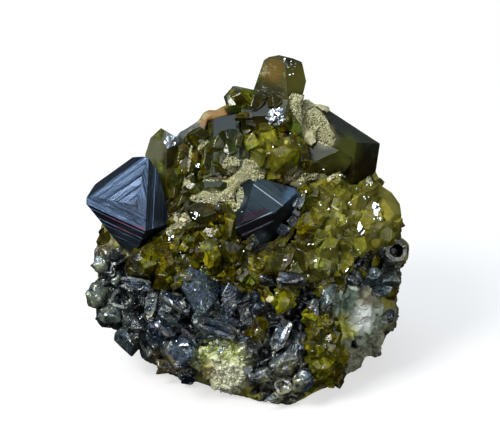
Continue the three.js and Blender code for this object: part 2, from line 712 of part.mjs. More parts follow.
/** Named crystals in the order in which they were set, each clear of those before it. */
function buildCrystals() {
  const druse = crustOf(9, DRUSE_PATCHES, { spacing: 4.6, width: [2.2, 3.6], length: [2.3, 3.8], lean: 0.8 });
  const blocks = crystalsOf(DRUSE_BLOCKS.map(lyingFlats));
  druse.solid = druse.solid.add(blocks.solid).subtract(solidFrom([ROCK], GAP));
  druse.clearance = druse.clearance.add(blocks.clearance);
  return [
    ["magnetite_large", MAGNETITE, crystalsOf([magnetiteFlats(LARGE_MAGNETITE)])],
    ["magnetite_middle", MAGNETITE, crystalsOf([magnetiteFlats(MIDDLE_MAGNETITE)])],
    ["diopside_left", GREY_DIOPSIDE, crystalsOf([LEFT_BLADE, LEFT_BLOCK, LEFT_FIN].map(namedFlats))],
    [
      "diopside_centre",
      GREY_DIOPSIDE,
      crystalsOf([CENTRE_BLOCK, CENTRE_WEDGE, CENTRE_FRONT, CENTRE_LENS].map(namedFlats)),
    ],
    [
      "diopside_summit",
      DIOPSIDE,
      crystalsOf([SUMMIT_CRYSTAL, SUMMIT_LUMP, SUMMIT_BAR, SUMMIT_NEEDLE].map(namedFlats)),
    ],
    ["diopside_right", GREY_DIOPSIDE, crystalsOf([RIGHT_PRISM, RIGHT_LOWER].map(namedFlats))],
    ["diopside_druse", DIOPSIDE, druse],
    [
      "diopside_upper",
      DIOPSIDE,
      crustOf(11, UPPER_PATCHES, { spacing: 3, width: [2.1, 3.3], length: [1.8, 3], lean: 0.7 }),
    ],
    [
      "diopside_column",
      DIOPSIDE,
      crustOf(13, COLUMN_PATCHES, { spacing: 2.8, width: [1.6, 2.5], length: [1.5, 2.4], lean: 0.5 }),
    ],
    [
      "diopside_pocket",
      DIOPSIDE,
      crustOf(17, POCKET_PATCHES, { spacing: 1.8, width: [1.3, 1.8], length: [1.4, 2.2], lean: 0.4 }),
    ],
    [
      "diopside_granular",
      PALE_DIOPSIDE,
      crustOf(19, GRANULAR_PATCHES, { spacing: 2.3, width: [1.6, 2.5], length: [1.1, 1.7], lean: 0.5 }),
    ],
  ];
}

const CRUSTS = ["druse", "upper", "column", "pocket", "granular"].map((name) => `diopside_${name}`);

/** Mesh of a solid, named and coloured. */
function meshOf(name, look, solid) {
  const surface = solid.getMesh();
  const geometry = new THREE.BufferGeometry();
  geometry.setAttribute("position", new THREE.BufferAttribute(surface.vertProperties, 3));
  geometry.setIndex(new THREE.BufferAttribute(surface.triVerts, 1));
  const mesh = new THREE.Mesh(geometry, new THREE.MeshStandardMaterial(look));
  mesh.name = name;
  return mesh;
}

/** Moves the meshes so that the middle of the base is the origin. */
function centreOnBase(meshes) {
  const bounds = new THREE.Box3();
  for (const mesh of meshes) {
    mesh.geometry.computeBoundingBox();
    bounds.union(mesh.geometry.boundingBox);
  }
  const middle = bounds.getCenter(new THREE.Vector3());
  for (const mesh of meshes) mesh.geometry.translate(-middle.x, -middle.y, -bounds.min.z);
}

/** Whole specimen. */
function buildSpecimen() {
  const meshes = [];
  const placed = [];
  let crustClearance = null;
  for (const [name, look, { solid, clearance }] of buildCrystals()) {
    let clear = solid;
    for (const earlier of placed) clear = clear.subtract(earlier);
    if (CRUSTS.includes(name)) {
      crustClearance = crustClearance ? crustClearance.add(clearance) : clearance;
    }
    placed.push(clearance);
    meshes.push(meshOf(name, look, biggestBody(clear.subtract(belowBase()))));
  }
  const cutInRock = placed.slice(0, placed.length - CRUSTS.length);
  meshes.unshift(meshOf("matrix", MATRIX_ROCK, buildMatrix(cutInRock, crustClearance)));
  centreOnBase(meshes);
  const specimen = new THREE.Group();
  specimen.name = "diopside_with_magnetite_specimen";
  specimen.add(...meshes);
  return specimen;
}

export default buildSpecimen();
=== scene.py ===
"""Looks of the diopside with magnetite specimen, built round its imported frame.

Lengths named in a class are millimetres, and meshes are in metres. Places on the show face are
given as it is seen: across it, up it and towards the viewer.
"""

import logging
import math
import random
from dataclasses import dataclass
from enum import Enum
from typing import Iterable, Optional, Sequence, Union

import bmesh
import bpy
from mathutils import Matrix, Vector, noise
from mathutils.bvhtree import BVHTree


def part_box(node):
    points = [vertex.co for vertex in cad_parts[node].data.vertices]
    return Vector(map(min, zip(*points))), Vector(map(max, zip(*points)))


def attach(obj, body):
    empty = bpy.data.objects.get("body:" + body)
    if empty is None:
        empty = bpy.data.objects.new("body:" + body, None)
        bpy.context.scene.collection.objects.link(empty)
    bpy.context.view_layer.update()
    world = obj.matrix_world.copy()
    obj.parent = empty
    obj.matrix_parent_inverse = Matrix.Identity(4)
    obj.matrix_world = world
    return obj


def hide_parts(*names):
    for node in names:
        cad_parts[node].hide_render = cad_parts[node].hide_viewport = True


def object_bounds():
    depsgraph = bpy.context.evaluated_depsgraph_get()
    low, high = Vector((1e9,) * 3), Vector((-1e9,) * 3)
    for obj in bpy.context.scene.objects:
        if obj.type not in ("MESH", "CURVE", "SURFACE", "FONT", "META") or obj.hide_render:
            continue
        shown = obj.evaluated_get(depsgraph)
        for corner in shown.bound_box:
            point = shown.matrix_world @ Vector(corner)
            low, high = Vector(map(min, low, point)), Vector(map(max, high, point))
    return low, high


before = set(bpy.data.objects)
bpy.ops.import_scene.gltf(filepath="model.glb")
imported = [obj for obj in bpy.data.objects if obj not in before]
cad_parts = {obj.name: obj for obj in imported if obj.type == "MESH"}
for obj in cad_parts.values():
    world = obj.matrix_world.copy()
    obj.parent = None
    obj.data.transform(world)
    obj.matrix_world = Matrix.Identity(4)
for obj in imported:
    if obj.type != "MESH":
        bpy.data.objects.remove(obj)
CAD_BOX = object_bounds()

log = logging.getLogger("specimen")

Shape = bmesh.types.BMesh
Face = bmesh.types.BMFace
Mesh = bpy.types.Mesh
Piece = bpy.types.Object
Material = bpy.types.Material
Socket = bpy.types.NodeSocket
Colour = tuple[float, float, float]
Share = tuple[float, float, float]
Spot = tuple[float, float]
Range = tuple[float, float]
Source = random.Random
Stops = tuple[tuple[float, Colour], ...]
Line = tuple[Spot, Spot, Colour, float]

MM = 0.001
ROUND = 2.0 * math.pi

# Widest turn of a small piece about its own axis
ANY_ROLL = 6.28

# How far the line of sight drops, and the ways right, up and near on the show face
SIGHT_DROP = math.radians(25.0)
RIGHT = Vector((1.0, 0.0, 0.0))
RISE = Vector((0.0, math.sin(SIGHT_DROP), math.cos(SIGHT_DROP)))
NEAR = Vector((0.0, -math.cos(SIGHT_DROP), math.sin(SIGHT_DROP)))
FACING_NEAR = Matrix((RIGHT, RISE, NEAR)).transposed().to_4x4()

# Lowest corner of the large octahedron, measured from the place where the show face starts
OCTAHEDRON_CORNER = Vector((-25.88, 4.894, 20.746))
SIGHT_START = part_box("magnetite_large")[0] - MM * OCTAHEDRON_CORNER

# How far in front of the show face the rays start that look for it
RAY_START = 60.0

# Where the key light stands, in shares across, up and towards the viewer
KEY_WAY = (-0.52, 0.45, 0.73)

# Depth of a small crystal in shares of its width
CRYSTAL_DEPTH = 0.85

# Start of the noise that dents the crust
NOISE_SEED = 12

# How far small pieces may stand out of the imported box, in shares of its sides
SPARE = 0.022


def seen(across: float, up: float, near: float = 0.0) -> Vector:
    """Direction or length in the frame from its shares across, up and towards the viewer."""
    return across * RIGHT + up * RISE + near * NEAR


def place(across: float, up: float, near: float = 0.0) -> Vector:
    """Place in the frame, in metres, of a spot on the show face."""
    return SIGHT_START + MM * seen(across, up, near)


def flat_place(across: float, up: float) -> Vector:
    """Place of a spot on the show face, moved along the line of sight into one plane."""
    spot = place(across, up)
    return spot - spot.dot(NEAR) * NEAR


def sight_of(point: Vector) -> Vector:
    """Millimetres across, up and towards the viewer of a place in the frame."""
    local = (point - SIGHT_START) / MM
    return Vector((local.dot(RIGHT), local.dot(RISE), local.dot(NEAR)))


def smooth_step(low: float, high: float, value: float) -> float:
    """Eased share, from 0 to 1, of the way from low to high."""
    share = min(1.0, max(0.0, (value - low) / (high - low)))
    return share * share * (3.0 - 2.0 * share)


class Shade:
    """A number in a material, with the arithmetic that adds its Math nodes."""

    def __init__(self, paint: "Paint", socket: Socket) -> None:
        """Keep the material's paint and the socket that gives the number."""
        self.paint = paint
        self.socket = socket

    def math(self, operation: str, first: "Number", second: "Number") -> "Shade":
        """Number made by one Math node from two others."""
        node = self.paint.node("ShaderNodeMath", {"operation": operation}, {0: first, 1: second})
        return Shade(self.paint, node.outputs[0])

    def __add__(self, other: "Number") -> "Shade":
        """Sum with another number."""
        return self.math("ADD", self, other)

    def __sub__(self, other: "Number") -> "Shade":
        """Difference from another number."""
        return self.math("SUBTRACT", self, other)

    def __rsub__(self, other: float) -> "Shade":
        """Plain number less this one."""
        return self.math("SUBTRACT", other, self)

    def __mul__(self, other: "Number") -> "Shade":
        """Product with another number."""
        return self.math("MULTIPLY", self, other)

    def __truediv__(self, other: "Number") -> "Shade":
        """Share of another number."""
        return self.math("DIVIDE", self, other)

    # Sums and products are the same either way round
    __radd__ = __add__
    __rmul__ = __mul__

    def clamped(self) -> "Shade":
        """This number held between 0 and 1."""
        return self.math("MINIMUM", self.math("MAXIMUM", self, 0.0), 1.0)

    def step(self, low: float, high: float) -> "Shade":
        """Eased share of the way from low to high."""
        values = {"Value": self, "From Min": low, "From Max": high}
        settings = {"interpolation_type": "SMOOTHSTEP"}
        return Shade(self.paint, self.paint.node("ShaderNodeMapRange", settings, values).outputs[0])


Number = Union[float, Shade]
Tinted = Union[Colour, Socket]


class Nodes:
    """The nodes of a material or of the surroundings."""

    def __init__(self, owner: Union[Material, bpy.types.World]) -> None:
        """Start with no node."""
        owner.use_nodes = True
        self.tree = owner.node_tree
        self.tree.nodes.clear()

    def fill(self, socket: Socket, value: object) -> None:
        """Link a socket to a number or to another socket, or give it a plain value."""
        source = value.socket if isinstance(value, Shade) else value
        if isinstance(source, Socket):
            self.tree.links.new(source, socket)
        elif socket.type == "RGBA":
            socket.default_value = (*source, 1.0)
        else:
            socket.default_value = source

    def node(
        self,
        kind: str,
        settings: Optional[dict[str, object]] = None,
        values: Optional[dict[Union[str, int], object]] = None,
    ) -> bpy.types.Node:
        """Add any node.

        Args:
            kind: Blender's name of the node's type.
            settings: the node's own settings, set first; stops are a colour ramp's.
            values: plain values or links of its sockets.

        Returns:
            The node.
        """
        made = self.tree.nodes.new(kind)
        for name, value in (settings or {}).items():
            if name == "stops":
                set_stops(made.color_ramp, value)
            else:
                setattr(made, name, value)
        for name, value in (values or {}).items():
            self.fill(made.inputs[name], value)
        return made


class Paint(Nodes):
    """One material and the nodes that it is made of."""

    def __init__(self, name: str) -> None:
        """Start a material with a Principled surface, and the places that patterns read."""
        self.material = bpy.data.materials.new(name)
        super().__init__(self.material)
        self.body = self.node("ShaderNodeBsdfPrincipled")
        self.output = self.node("ShaderNodeOutputMaterial", {}, {0: self.body.outputs[0]})
        self.object_place = self.node("ShaderNodeTexCoord").outputs["Object"]
        shift = self.vector("SCALE", tuple(NEAR), self.along(self.object_place, NEAR)).outputs[0]
        self.flat_place = self.vector("SUBTRACT", self.object_place, shift).outputs[0]

    def surface(self, **values: object) -> None:
        """Set the sockets of the Principled surface, with underscores for their spaces."""
        for name, value in values.items():
            title = name.replace("_", " ").title().replace("Ior", "IOR")
            self.fill(self.body.inputs[title], value)

    def attribute(self, name: str) -> Shade:
        """Number kept on the mesh's points."""
        return Shade(self, self.node("ShaderNodeAttribute", {"attribute_name": name}).outputs["Fac"])

    def ramp(self, stops: Stops, level: Shade) -> Socket:
        """Colour that a level from 0 to 1 has between some stops."""
        return self.node("ShaderNodeValToRGB", {"stops": stops}, {0: level.clamped()}).outputs[0]

    def cloud(
        self,
        size: float,
        detail: float = 3.0,
        roughness: float = 0.55,
        distortion: float = 0.0,
        source: Optional[Socket] = None,
    ) -> Shade:
        """Soft noise.

        Args:
            size: size of its biggest patches in millimetres.
            detail: how many finer octaves it has.
            roughness: how strong these are.
            distortion: how far its patches are drawn out into swirls.
            source: places that it reads, or none for the object's own.

        Returns:
            Noise from 0 to 1.
        """
        values = {
            "Vector": source or self.object_place,
            "Scale": 1.0 / (MM * size),
            "Detail": detail,
            "Roughness": roughness,
            "Distortion": distortion,
        }
        return Shade(self, self.node("ShaderNodeTexNoise", {}, values).outputs[0])

    def streaks(self, spacing: float) -> Shade:
        """Fine streaks that run up the show face, at a spacing in millimetres."""
        across, near, up = (self.along(self.object_place, way) for way in (RIGHT, NEAR, RISE))
        drawn = self.node("ShaderNodeCombineXYZ", {}, {0: across, 1: near, 2: 0.05 * up})
        return self.cloud(spacing, 3.0, 0.6, source=drawn.outputs[0])

    def swirl(self, size: float, distortion: float, detail: float = 5.0) -> Shade:
        """Swirling noise of a size in millimetres, like the cracks in broken glass."""
        return self.cloud(size, detail, 0.62, distortion)

    def grains(self, size: float) -> tuple[Shade, Shade]:
        """Grains of a size in millimetres: the distance from their middles, and their own numbers."""
        values = {"Vector": self.object_place, "Scale": 1.0 / (MM * size)}
        cells = self.node("ShaderNodeTexVoronoi", {}, values)
        parts = self.node("ShaderNodeSeparateColor", {}, {0: cells.outputs[1]})
        return Shade(self, cells.outputs[0]), Shade(self, parts.outputs[0])

    def blend(self, share: Number, first: Tinted, second: Tinted, kind: str = "MIX") -> Socket:
        """Colour between two others."""
        settings = {"data_type": "RGBA", "blend_type": kind}
        return self.node("ShaderNodeMix", settings, {0: share, 6: first, 7: second}).outputs[2]

    def darken(self, share: Number, colour: Tinted, shadow: Colour) -> Socket:
        """Colour multiplied by a shadow's colour, as strongly as a share says."""
        return self.blend(share, colour, shadow, "MULTIPLY")

    def vector(self, operation: str, first: object, second: object) -> bpy.types.Node:
        """Vector Math node of two vectors, or of a vector and a scale."""
        values = {0: first, "Scale" if operation == "SCALE" else 1: second}
        return self.node("ShaderNodeVectorMath", {"operation": operation}, values)

    def along(self, places: Socket, way: Vector) -> Shade:
        """How far places lie along a direction."""
        return Shade(self, self.vector("DOT_PRODUCT", places, tuple(way)).outputs[1])

    def disc(self, across: float, up: float, reach: float) -> Shade:
        """Mask of a round stretch of the show face with a wide soft edge.

        Args:
            across: how far across its middle lies.
            up: how far up its middle lies.
            reach: its radius.

        Returns:
            Mask that is 1 inside.
        """
        middle = tuple(flat_place(across, up))
        away = Shade(self, self.vector("DISTANCE", self.flat_place, middle).outputs[1])
        away = away + 0.9 * MM * reach * (self.cloud(0.9 * reach, 2.0) - 0.5)
        return 1.0 - away.step(0.6 * MM * reach, 1.4 * MM * reach)

    def line(self, start: Spot, end: Spot, reach: float) -> Shade:
        """Mask of a thin line between two spots of the show face."""
        first = flat_place(*start)
        run = flat_place(*end) - first
        way = run.normalized()
        gone = self.vector("SUBTRACT", self.flat_place, tuple(first)).outputs[0]
        along = self.along(gone, way) / run.length
        nearest = self.vector("SCALE", tuple(way), along.clamped() * run.length).outputs[0]
        away = Shade(self, self.vector("DISTANCE", gone, nearest).outputs[1])
        return 1.0 - away.step(0.4 * MM * reach, MM * reach)

    def bump(self, height: Shade, depth: float, below: Optional[Socket] = None) -> Socket:
        """Fine relief.

        Args:
            height: pattern from 0 to 1.
            depth: its depth in millimetres.
            below: normal of the coarser relief that it lies on.

        Returns:
            The normal.
        """
        values = {"Height": height, "Distance": MM * depth, "Strength": 1.0}
        if below is not None:
            values["Normal"] = below
        return self.node("ShaderNodeBump", {}, values).outputs[0]


def set_stops(ramp: bpy.types.ColorRamp, stops: Sequence[tuple[float, Colour]]) -> None:
    """Give a colour ramp its stops."""
    while len(ramp.elements) < len(stops):
        ramp.elements.new(1.0)
    for element, (position, colour) in zip(ramp.elements, stops):
        element.position = position
        element.color = (*colour, 1.0)


@dataclass(frozen=True)
class Tint:
    """A stretch of another colour, the thing's own or painted light or shade: where it lies on the show
    face, its reach and its strength.
    """

    across: float
    up: float
    reach: float
    colour: Colour
    share: float = 0.8

    def over(self, paint: Paint, colour: Tinted, whole: Number = 1.0) -> Socket:
        """Colour with this stretch laid over it, as strongly as the whole share says."""
        mask = paint.disc(self.across, self.up, self.reach)
        return paint.blend(mask * self.share * whole, colour, self.colour)


@dataclass(frozen=True)
class Diopside:
    """Finish of clear olive crystal: its colours from painted shade in the gaps to painted glow, the
    light it loses and its gloss.
    """

    name: str
    stops: Stops
    depth_tint: Colour = (0.8, 0.82, 0.1)
    density: float = 260.0
    clearness: float = 0.5
    roughness: float = 0.07
    patch: float = 1.9
    base: float = 0.10
    grain: float = 0.0
    relief: float = 0.05
    veil: float = 0.2
    milky: Colour = (0.66, 0.66, 0.36)
    mottled: float = 0.8
    gloss: float = 0.15
    swell: float = 0.25
    honey: float = 0.0
    honey_shade: Colour = (1.0, 0.7, 0.45)
    green_shade: Colour = (0.66, 1.0, 0.9)
    striated: float = 0.0
    tints: tuple[Tint, ...] = ()

    def material(self) -> Material:
        """Make the material."""
        paint = Paint(self.name)
        patches = paint.cloud(self.patch, 4.0, 0.6)
        mottle = paint.swirl(0.5 * self.patch, 1.4)
        # Colour level from random tones and patches; its dark and bright ends stand for painted shade and
        # painted glow
        level = self.base + 0.42 * paint.attribute("tone") + 0.32 * paint.attribute("facet")
        level = level + (patches - 0.5) + self.mottled * (mottle - 0.5)
        height = 0.6 * paint.cloud(0.5, 2.0) + 0.4 * paint.cloud(0.18, 2.0)
        if self.striated:
            streaks = paint.streaks(self.striated)
            level = level + 0.35 * (streaks - 0.5)
            height = height + 0.5 * streaks
        if self.grain:
            middle, cell = paint.grains(self.grain)
            level = level + 0.6 * (cell - 0.5)
            height = height - 1.4 * middle
        veils = paint.cloud(0.5 * self.patch, 5.0, 0.7).step(0.55, 0.72)
        colour = paint.blend(self.veil * veils, paint.ramp(self.stops, level), self.milky)
        if self.honey:
            drift = paint.cloud(3.4, 3.0, 0.6)
            colour = paint.darken(self.honey * drift.step(0.52, 0.66), colour, self.honey_shade)
            colour = paint.darken(self.honey * (1.0 - drift.step(0.34, 0.48)), colour, self.green_shade)
        for tint in self.tints:
            colour = tint.over(paint, colour)
        paint.surface(
            base_color=colour,
            roughness=self.roughness + 0.2 * patches.step(0.5, 0.75),
            ior=1.68,
            specular_ior_level=self.gloss,
            transmission_weight=self.clearness,
            normal=paint.bump(height, self.relief, paint.bump(paint.cloud(2.4, 2.0), self.swell)),
        )
        if self.clearness >= 0.5:
            loss = {"Color": self.depth_tint, "Density": self.density}
            inside = paint.node("ShaderNodeVolumeAbsorption", {}, loss)
            paint.fill(paint.output.inputs["Volume"], inside.outputs[0])
        return paint.material


@dataclass(frozen=True)
class MagnetiteFinish:
    """Finish of striated magnetite: its dark and bright steel blues and its coloured lines."""

    name: str
    dark: Colour
    bright: Colour
    roughness: float
    lines: tuple[Line, ...]
    tints: tuple[Tint, ...]
    flecks: float = 0.8
    fleck: Colour = (0.44, 0.55, 0.7)
    pitted: Colour = (0.25, 0.27, 0.33)
    stretch: Share = (0.35, 9.0, 1.0)

    def material(self) -> Material:
        """Make the material."""
        paint = Paint(self.name)
        drawn = paint.node("ShaderNodeUVMap", {"uv_map": "striae"}).outputs[0]
        drawn = paint.node("ShaderNodeMapping", {}, {"Vector": drawn, "Scale": self.stretch}).outputs[0]
        streak = paint.cloud(1.0 / MM, 4.0, 0.65, source=drawn)
        blotch = paint.cloud(0.7, 4.0, 0.65)
        pits = paint.cloud(0.22, 3.0, 0.6).step(0.55, 0.68)
        tone = paint.attribute("tone")
        share = (streak.step(0.36, 0.66) * 0.7 + 0.5 * tone + 0.5 * blotch - 0.35).clamped()
        colour = paint.blend(share, self.dark, self.bright)
        colour = paint.darken(0.6 * pits, colour, self.pitted)
        flecks = paint.cloud(0.16, 3.0, 0.6).step(0.58, 0.66) * streak.step(0.46, 0.6)
        colour = paint.blend(self.flecks * flecks, colour, self.fleck)
        for tint in self.tints:
            colour = tint.over(paint, colour)
        for start, end, shade, reach in self.lines:
            colour = paint.blend(0.85 * paint.line(start, end, reach), colour, shade)
        paint.surface(
            base_color=colour,
            metallic=0.92,
            roughness=self.roughness + 0.22 * blotch + 0.15 * pits,
            normal=paint.bump(blotch + 0.5 * pits, 0.05, paint.bump(streak, 0.05)),
        )
        return paint.material


@dataclass(frozen=True)
class CrustFinish:
    """Finish of the dark glossy crust: painted shade in its hollows, the colours of its pieces, and its
    pale rims, partly painted highlight.
    """

    # Painted shade: the colour that hollows are darkened to
    hollow_shade: Colour = (0.002, 0.003, 0.006)
    # Pale rims: partly worn edges, partly painted highlight where edges catch the light
    rim: Colour = (0.28, 0.28, 0.19)
    ochre: Colour = (0.19, 0.17, 0.1)
    # Blue-grey streaks of the broken crust, bright enough to be partly painted highlight
    streak: Colour = (0.24, 0.34, 0.45)
    tints: tuple[Tint, ...] = ()
    stops: Stops = (
        (0.0, (0.002, 0.003, 0.006)),
        (0.3, (0.005, 0.008, 0.017)),
        (0.45, (0.045, 0.08, 0.135)),
        (0.54, (0.006, 0.01, 0.02)),
        (0.66, (0.016, 0.042, 0.04)),
        (0.79, (0.075, 0.12, 0.12)),
        (0.89, (0.13, 0.15, 0.095)),
        (1.0, (0.26, 0.265, 0.17)),
    )

    def colour(self, paint: Paint, rim: Shade, pit: Shade, tone: Shade) -> Socket:
        """Colour of the crust.

        Args:
            paint: the material that it is made in.
            rim: how near a raised rim a point lies, which is painted pale, partly as painted highlight.
            pit: how far down a hollow it lies, which is darkened as painted shade.
            tone: random number of the lump or plate.

        Returns:
            The colour's socket.
        """
        mottle = paint.cloud(1.1, 4.0, 0.6)
        fine = paint.cloud(0.28, 3.0, 0.6)
        level = 0.1 + 0.8 * tone + 1.3 * (mottle - 0.5)
        colour = paint.ramp(self.stops, level)
        for tint in self.tints:
            colour = tint.over(paint, colour, mottle.step(0.36, 0.56))
        # Streaks of the broken crust, partly painted highlight
        colour = paint.blend(0.8 * paint.swirl(1.3, 2.2).step(0.57, 0.65), colour, self.streak)
        # Pale rims, partly painted highlight
        colour = paint.blend((rim * fine.step(0.42, 0.66)).clamped(), colour, self.rim)
        stain = paint.cloud(2.2, 4.0, 0.6).step(0.58, 0.68)
        colour = paint.blend(0.5 * stain * fine.step(0.3, 0.7), colour, self.ochre)
        # Painted shade: hollows darkened towards black
        return paint.blend((1.1 * pit).clamped(), colour, self.hollow_shade)

    def material(self) -> Material:
        """Make the material of the loose plates, cups and curls."""
        paint = Paint("crust_plates")
        rim = paint.attribute("rim")
        tone = paint.attribute("tone")
        fine = paint.cloud(0.3, 4.0, 0.6)
        dents = paint.bump(paint.swirl(2.6, 1.6, 2.0), 0.45)
        paint.surface(
            base_color=self.colour(paint, rim, paint.attribute("pit"), tone),
            roughness=0.10 + 0.18 * fine + 0.2 * rim,
            metallic=0.25,
            ior=1.95,
            coat_weight=0.8,
            coat_roughness=0.07,
            normal=paint.bump(fine, 0.05, dents),
        )
        return paint.material


@dataclass(frozen=True)
class RockFinish:
    """Finish of the rock under and between the crystals, zone by zone."""

    crust: CrustFinish
    # Olive bed between the crystals: its own colour, made brighter as painted light that fills the shade
    # in the gaps
    bed_dark_and_fill_light: Colour = (0.12, 0.11, 0.012)
    bed_bright_and_fill_light: Colour = (0.44, 0.42, 0.03)
    sand_dark: Colour = (0.2, 0.18, 0.07)
    sand_bright: Colour = (0.62, 0.6, 0.36)
    ochre: Colour = (0.42, 0.22, 0.04)
    # Painted shade over the rock's crust, which shows in the gaps between the loose crust pieces
    crust_gap_shade: Colour = (0.25, 0.28, 0.34)
    knob_dark: Colour = (0.13, 0.17, 0.11)
    knob_bright: Colour = (0.5, 0.54, 0.42)
    broken_dark: Colour = (0.022, 0.03, 0.024)
    broken_bright: Colour = (0.46, 0.48, 0.33)
    tints: tuple[Tint, ...] = ()

    def material(self) -> Material:
        """Make the material."""
        paint = Paint("host_rock")
        zones = {name: paint.attribute(name) for name in ("crust", "sand", "knob", "broken")}
        rim, pit, tone = (paint.attribute(name) for name in ("rim", "pit", "tone"))
        coarse = paint.cloud(2.4, 4.0, 0.6)
        fine = paint.cloud(0.35, 4.0, 0.65)
        grain, speck = paint.grains(0.34)
        colour = paint.blend(coarse.step(0.35, 0.65), self.bed_dark_and_fill_light, self.bed_bright_and_fill_light)
        sand = paint.blend((0.7 * speck + 0.5 * fine).clamped(), self.sand_dark, self.sand_bright)
        sand = paint.blend(0.4 * coarse.step(0.58, 0.68), sand, self.ochre)
        broken = (0.5 * speck + 0.6 * fine + 1.2 * (coarse - 0.5)).clamped()
        broken = paint.blend(broken, self.broken_dark, self.broken_bright)
        knob = paint.blend((2.0 * (coarse - 0.3)).clamped(), self.knob_dark, self.knob_bright)
        # Painted shade: the rock's crust darkened where it shows between the loose pieces
        crust = paint.darken(0.6, self.crust.colour(paint, rim, pit, tone), self.crust_gap_shade)
        grounds = {"sand": sand, "broken": broken, "knob": knob, "crust": crust}
        for name, ground in grounds.items():
            colour = paint.blend(zones[name], colour, ground)
        front = paint.attribute("front") * coarse.step(0.2, 0.5)
        for tint in self.tints:
            colour = tint.over(paint, colour, front)
        gloss = (zones["crust"] + 0.7 * zones["knob"]).clamped()
        rough = 0.75 - gloss * 0.55 + 0.2 * (fine - 0.5)
        dents = paint.bump(paint.swirl(2.6, 1.6, 2.0) * zones["crust"], 0.5)
        relief = paint.bump(fine * (1.0 - 0.5 * zones["crust"]), 0.12, dents)
        paint.surface(
            base_color=colour,
            roughness=rough.clamped(),
            metallic=0.2 * zones["crust"],
            ior=1.7,
            coat_weight=0.55 * gloss,
            coat_roughness=0.1,
            normal=paint.bump(grain * (1.0 - 0.8 * zones["crust"]), 0.07, relief),
        )
        return paint.material


@dataclass(frozen=True)
class GrainFinish:
    """Finish of small loose grains, from a dark to a bright colour."""

    name: str
    dark: Colour
    bright: Colour
    roughness: float = 0.5

    def material(self) -> Material:
        """Make the material."""
        paint = Paint(self.name)
        share = (paint.attribute("tone") + paint.cloud(0.4) - 0.5).clamped()
        paint.surface(
            base_color=paint.blend(share, self.dark, self.bright),
            roughness=self.roughness,
            ior=1.6,
            normal=paint.bump(paint.cloud(0.15), 0.04),
        )
        return paint.material


@dataclass(frozen=True)
class MirrorFinish:
    """Finish of the bright flakes that glint."""

    name: str = "bright_flakes"
    dark: Colour = (0.35, 0.42, 0.46)
    bright: Colour = (0.72, 0.8, 0.88)

    def material(self) -> Material:
        """Make the material."""
        paint = Paint(self.name)
        paint.surface(
            base_color=paint.blend(paint.attribute("tone"), self.dark, self.bright),
            roughness=0.12 + 0.2 * paint.cloud(0.3),
            metallic=0.85,
            normal=paint.bump(paint.cloud(0.2), 0.03),
        )
        return paint.material


def merged_copy(node: str) -> Shape:
    """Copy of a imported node's mesh with its loose triangles joined."""
    shape = bmesh.new()
    shape.from_mesh(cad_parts[node].data)
    bmesh.ops.remove_doubles(shape, verts=shape.verts, dist=0.002 * MM)
    flat = math.radians(0.5)
    bmesh.ops.dissolve_limit(shape, angle_limit=flat, verts=shape.verts, edges=shape.edges)
    return shape


def keep_inside(spot: Vector) -> None:
    """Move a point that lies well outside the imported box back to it, and none below the floor."""
    for axis, (low, high) in enumerate(zip(*CAD_BOX)):
        spare = SPARE * (high - low)
        spot[axis] = min(max(spot[axis], low - spare), high + spare)
    spot.z = max(spot.z, 0.0)


def kept_mesh(shape: Shape, name: str = "pattern") -> Mesh:
    """Mesh of a shape; the shape is freed."""
    mesh = bpy.data.meshes.new(name)
    shape.to_mesh(mesh)
    shape.free()
    return mesh


def placed(name: str, data: bpy.types.ID) -> Piece:
    """Object with some data, linked to the scene."""
    made = bpy.data.objects.new(name, data)
    bpy.context.scene.collection.objects.link(made)
    return made


def finished(
    shape: Shape,
    name: str,
    material: Material,
    replaced: Sequence[str] = (),
) -> Piece:
    """Turn a shape into a piece of the specimen.

    Args:
        shape: the shape, with its place in its mesh; it is freed.
        name: name of the piece.
        material: its finish.
        replaced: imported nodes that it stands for.

    Returns:
        The piece.
    """
    for point in shape.verts:
        keep_inside(point.co)
    mesh = kept_mesh(shape, name)
    mesh.materials.append(material)
    piece = placed(name, mesh)
    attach(piece, "root")
    if replaced:
        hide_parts(*replaced)
    return piece


def mark(shape: Shape, **marks: float) -> None:
    """Give all points of a shape the same numbers, by their names."""
    for name, value in marks.items():
        layer = shape.verts.layers.float.get(name) or shape.verts.layers.float.new(name)
        for point in shape.verts:
            point[layer] = value


def set_facets(shape: Shape, source: Source) -> None:
    """Give every face of a shape its own random number."""
    layer = shape.faces.layers.float.get("facet") or shape.faces.layers.float.new("facet")
    for face in shape.faces:
        face[layer] = source.random()


def sharp_edges(shape: Shape, angle: float) -> list[bmesh.types.BMEdge]:
    """Edges of a shape whose faces turn by more than an angle."""
    return [edge for edge in shape.edges if edge.is_manifold and edge.calc_face_angle() > angle]


def wear_off(
    shape: Shape,
    edges: Sequence[bmesh.types.BMEdge],
    wear: float,
    segments: int = 1,
    clamped: bool = True,
) -> None:
    """Take the sharpness off some edges of a shape.

    Args:
        shape: the shape.
        edges: the edges.
        wear: how far the wear reaches from them, in the shape's own unit.
        segments: how many faces it is made of.
        clamped: whether it stops where it would run into another.
    """
    bmesh.ops.bevel(
        shape,
        geom=edges,
        offset=wear,
        affect="EDGES",
        segments=segments,
        profile=0.5,
        material=-1,
        clamp_overlap=clamped,
    )


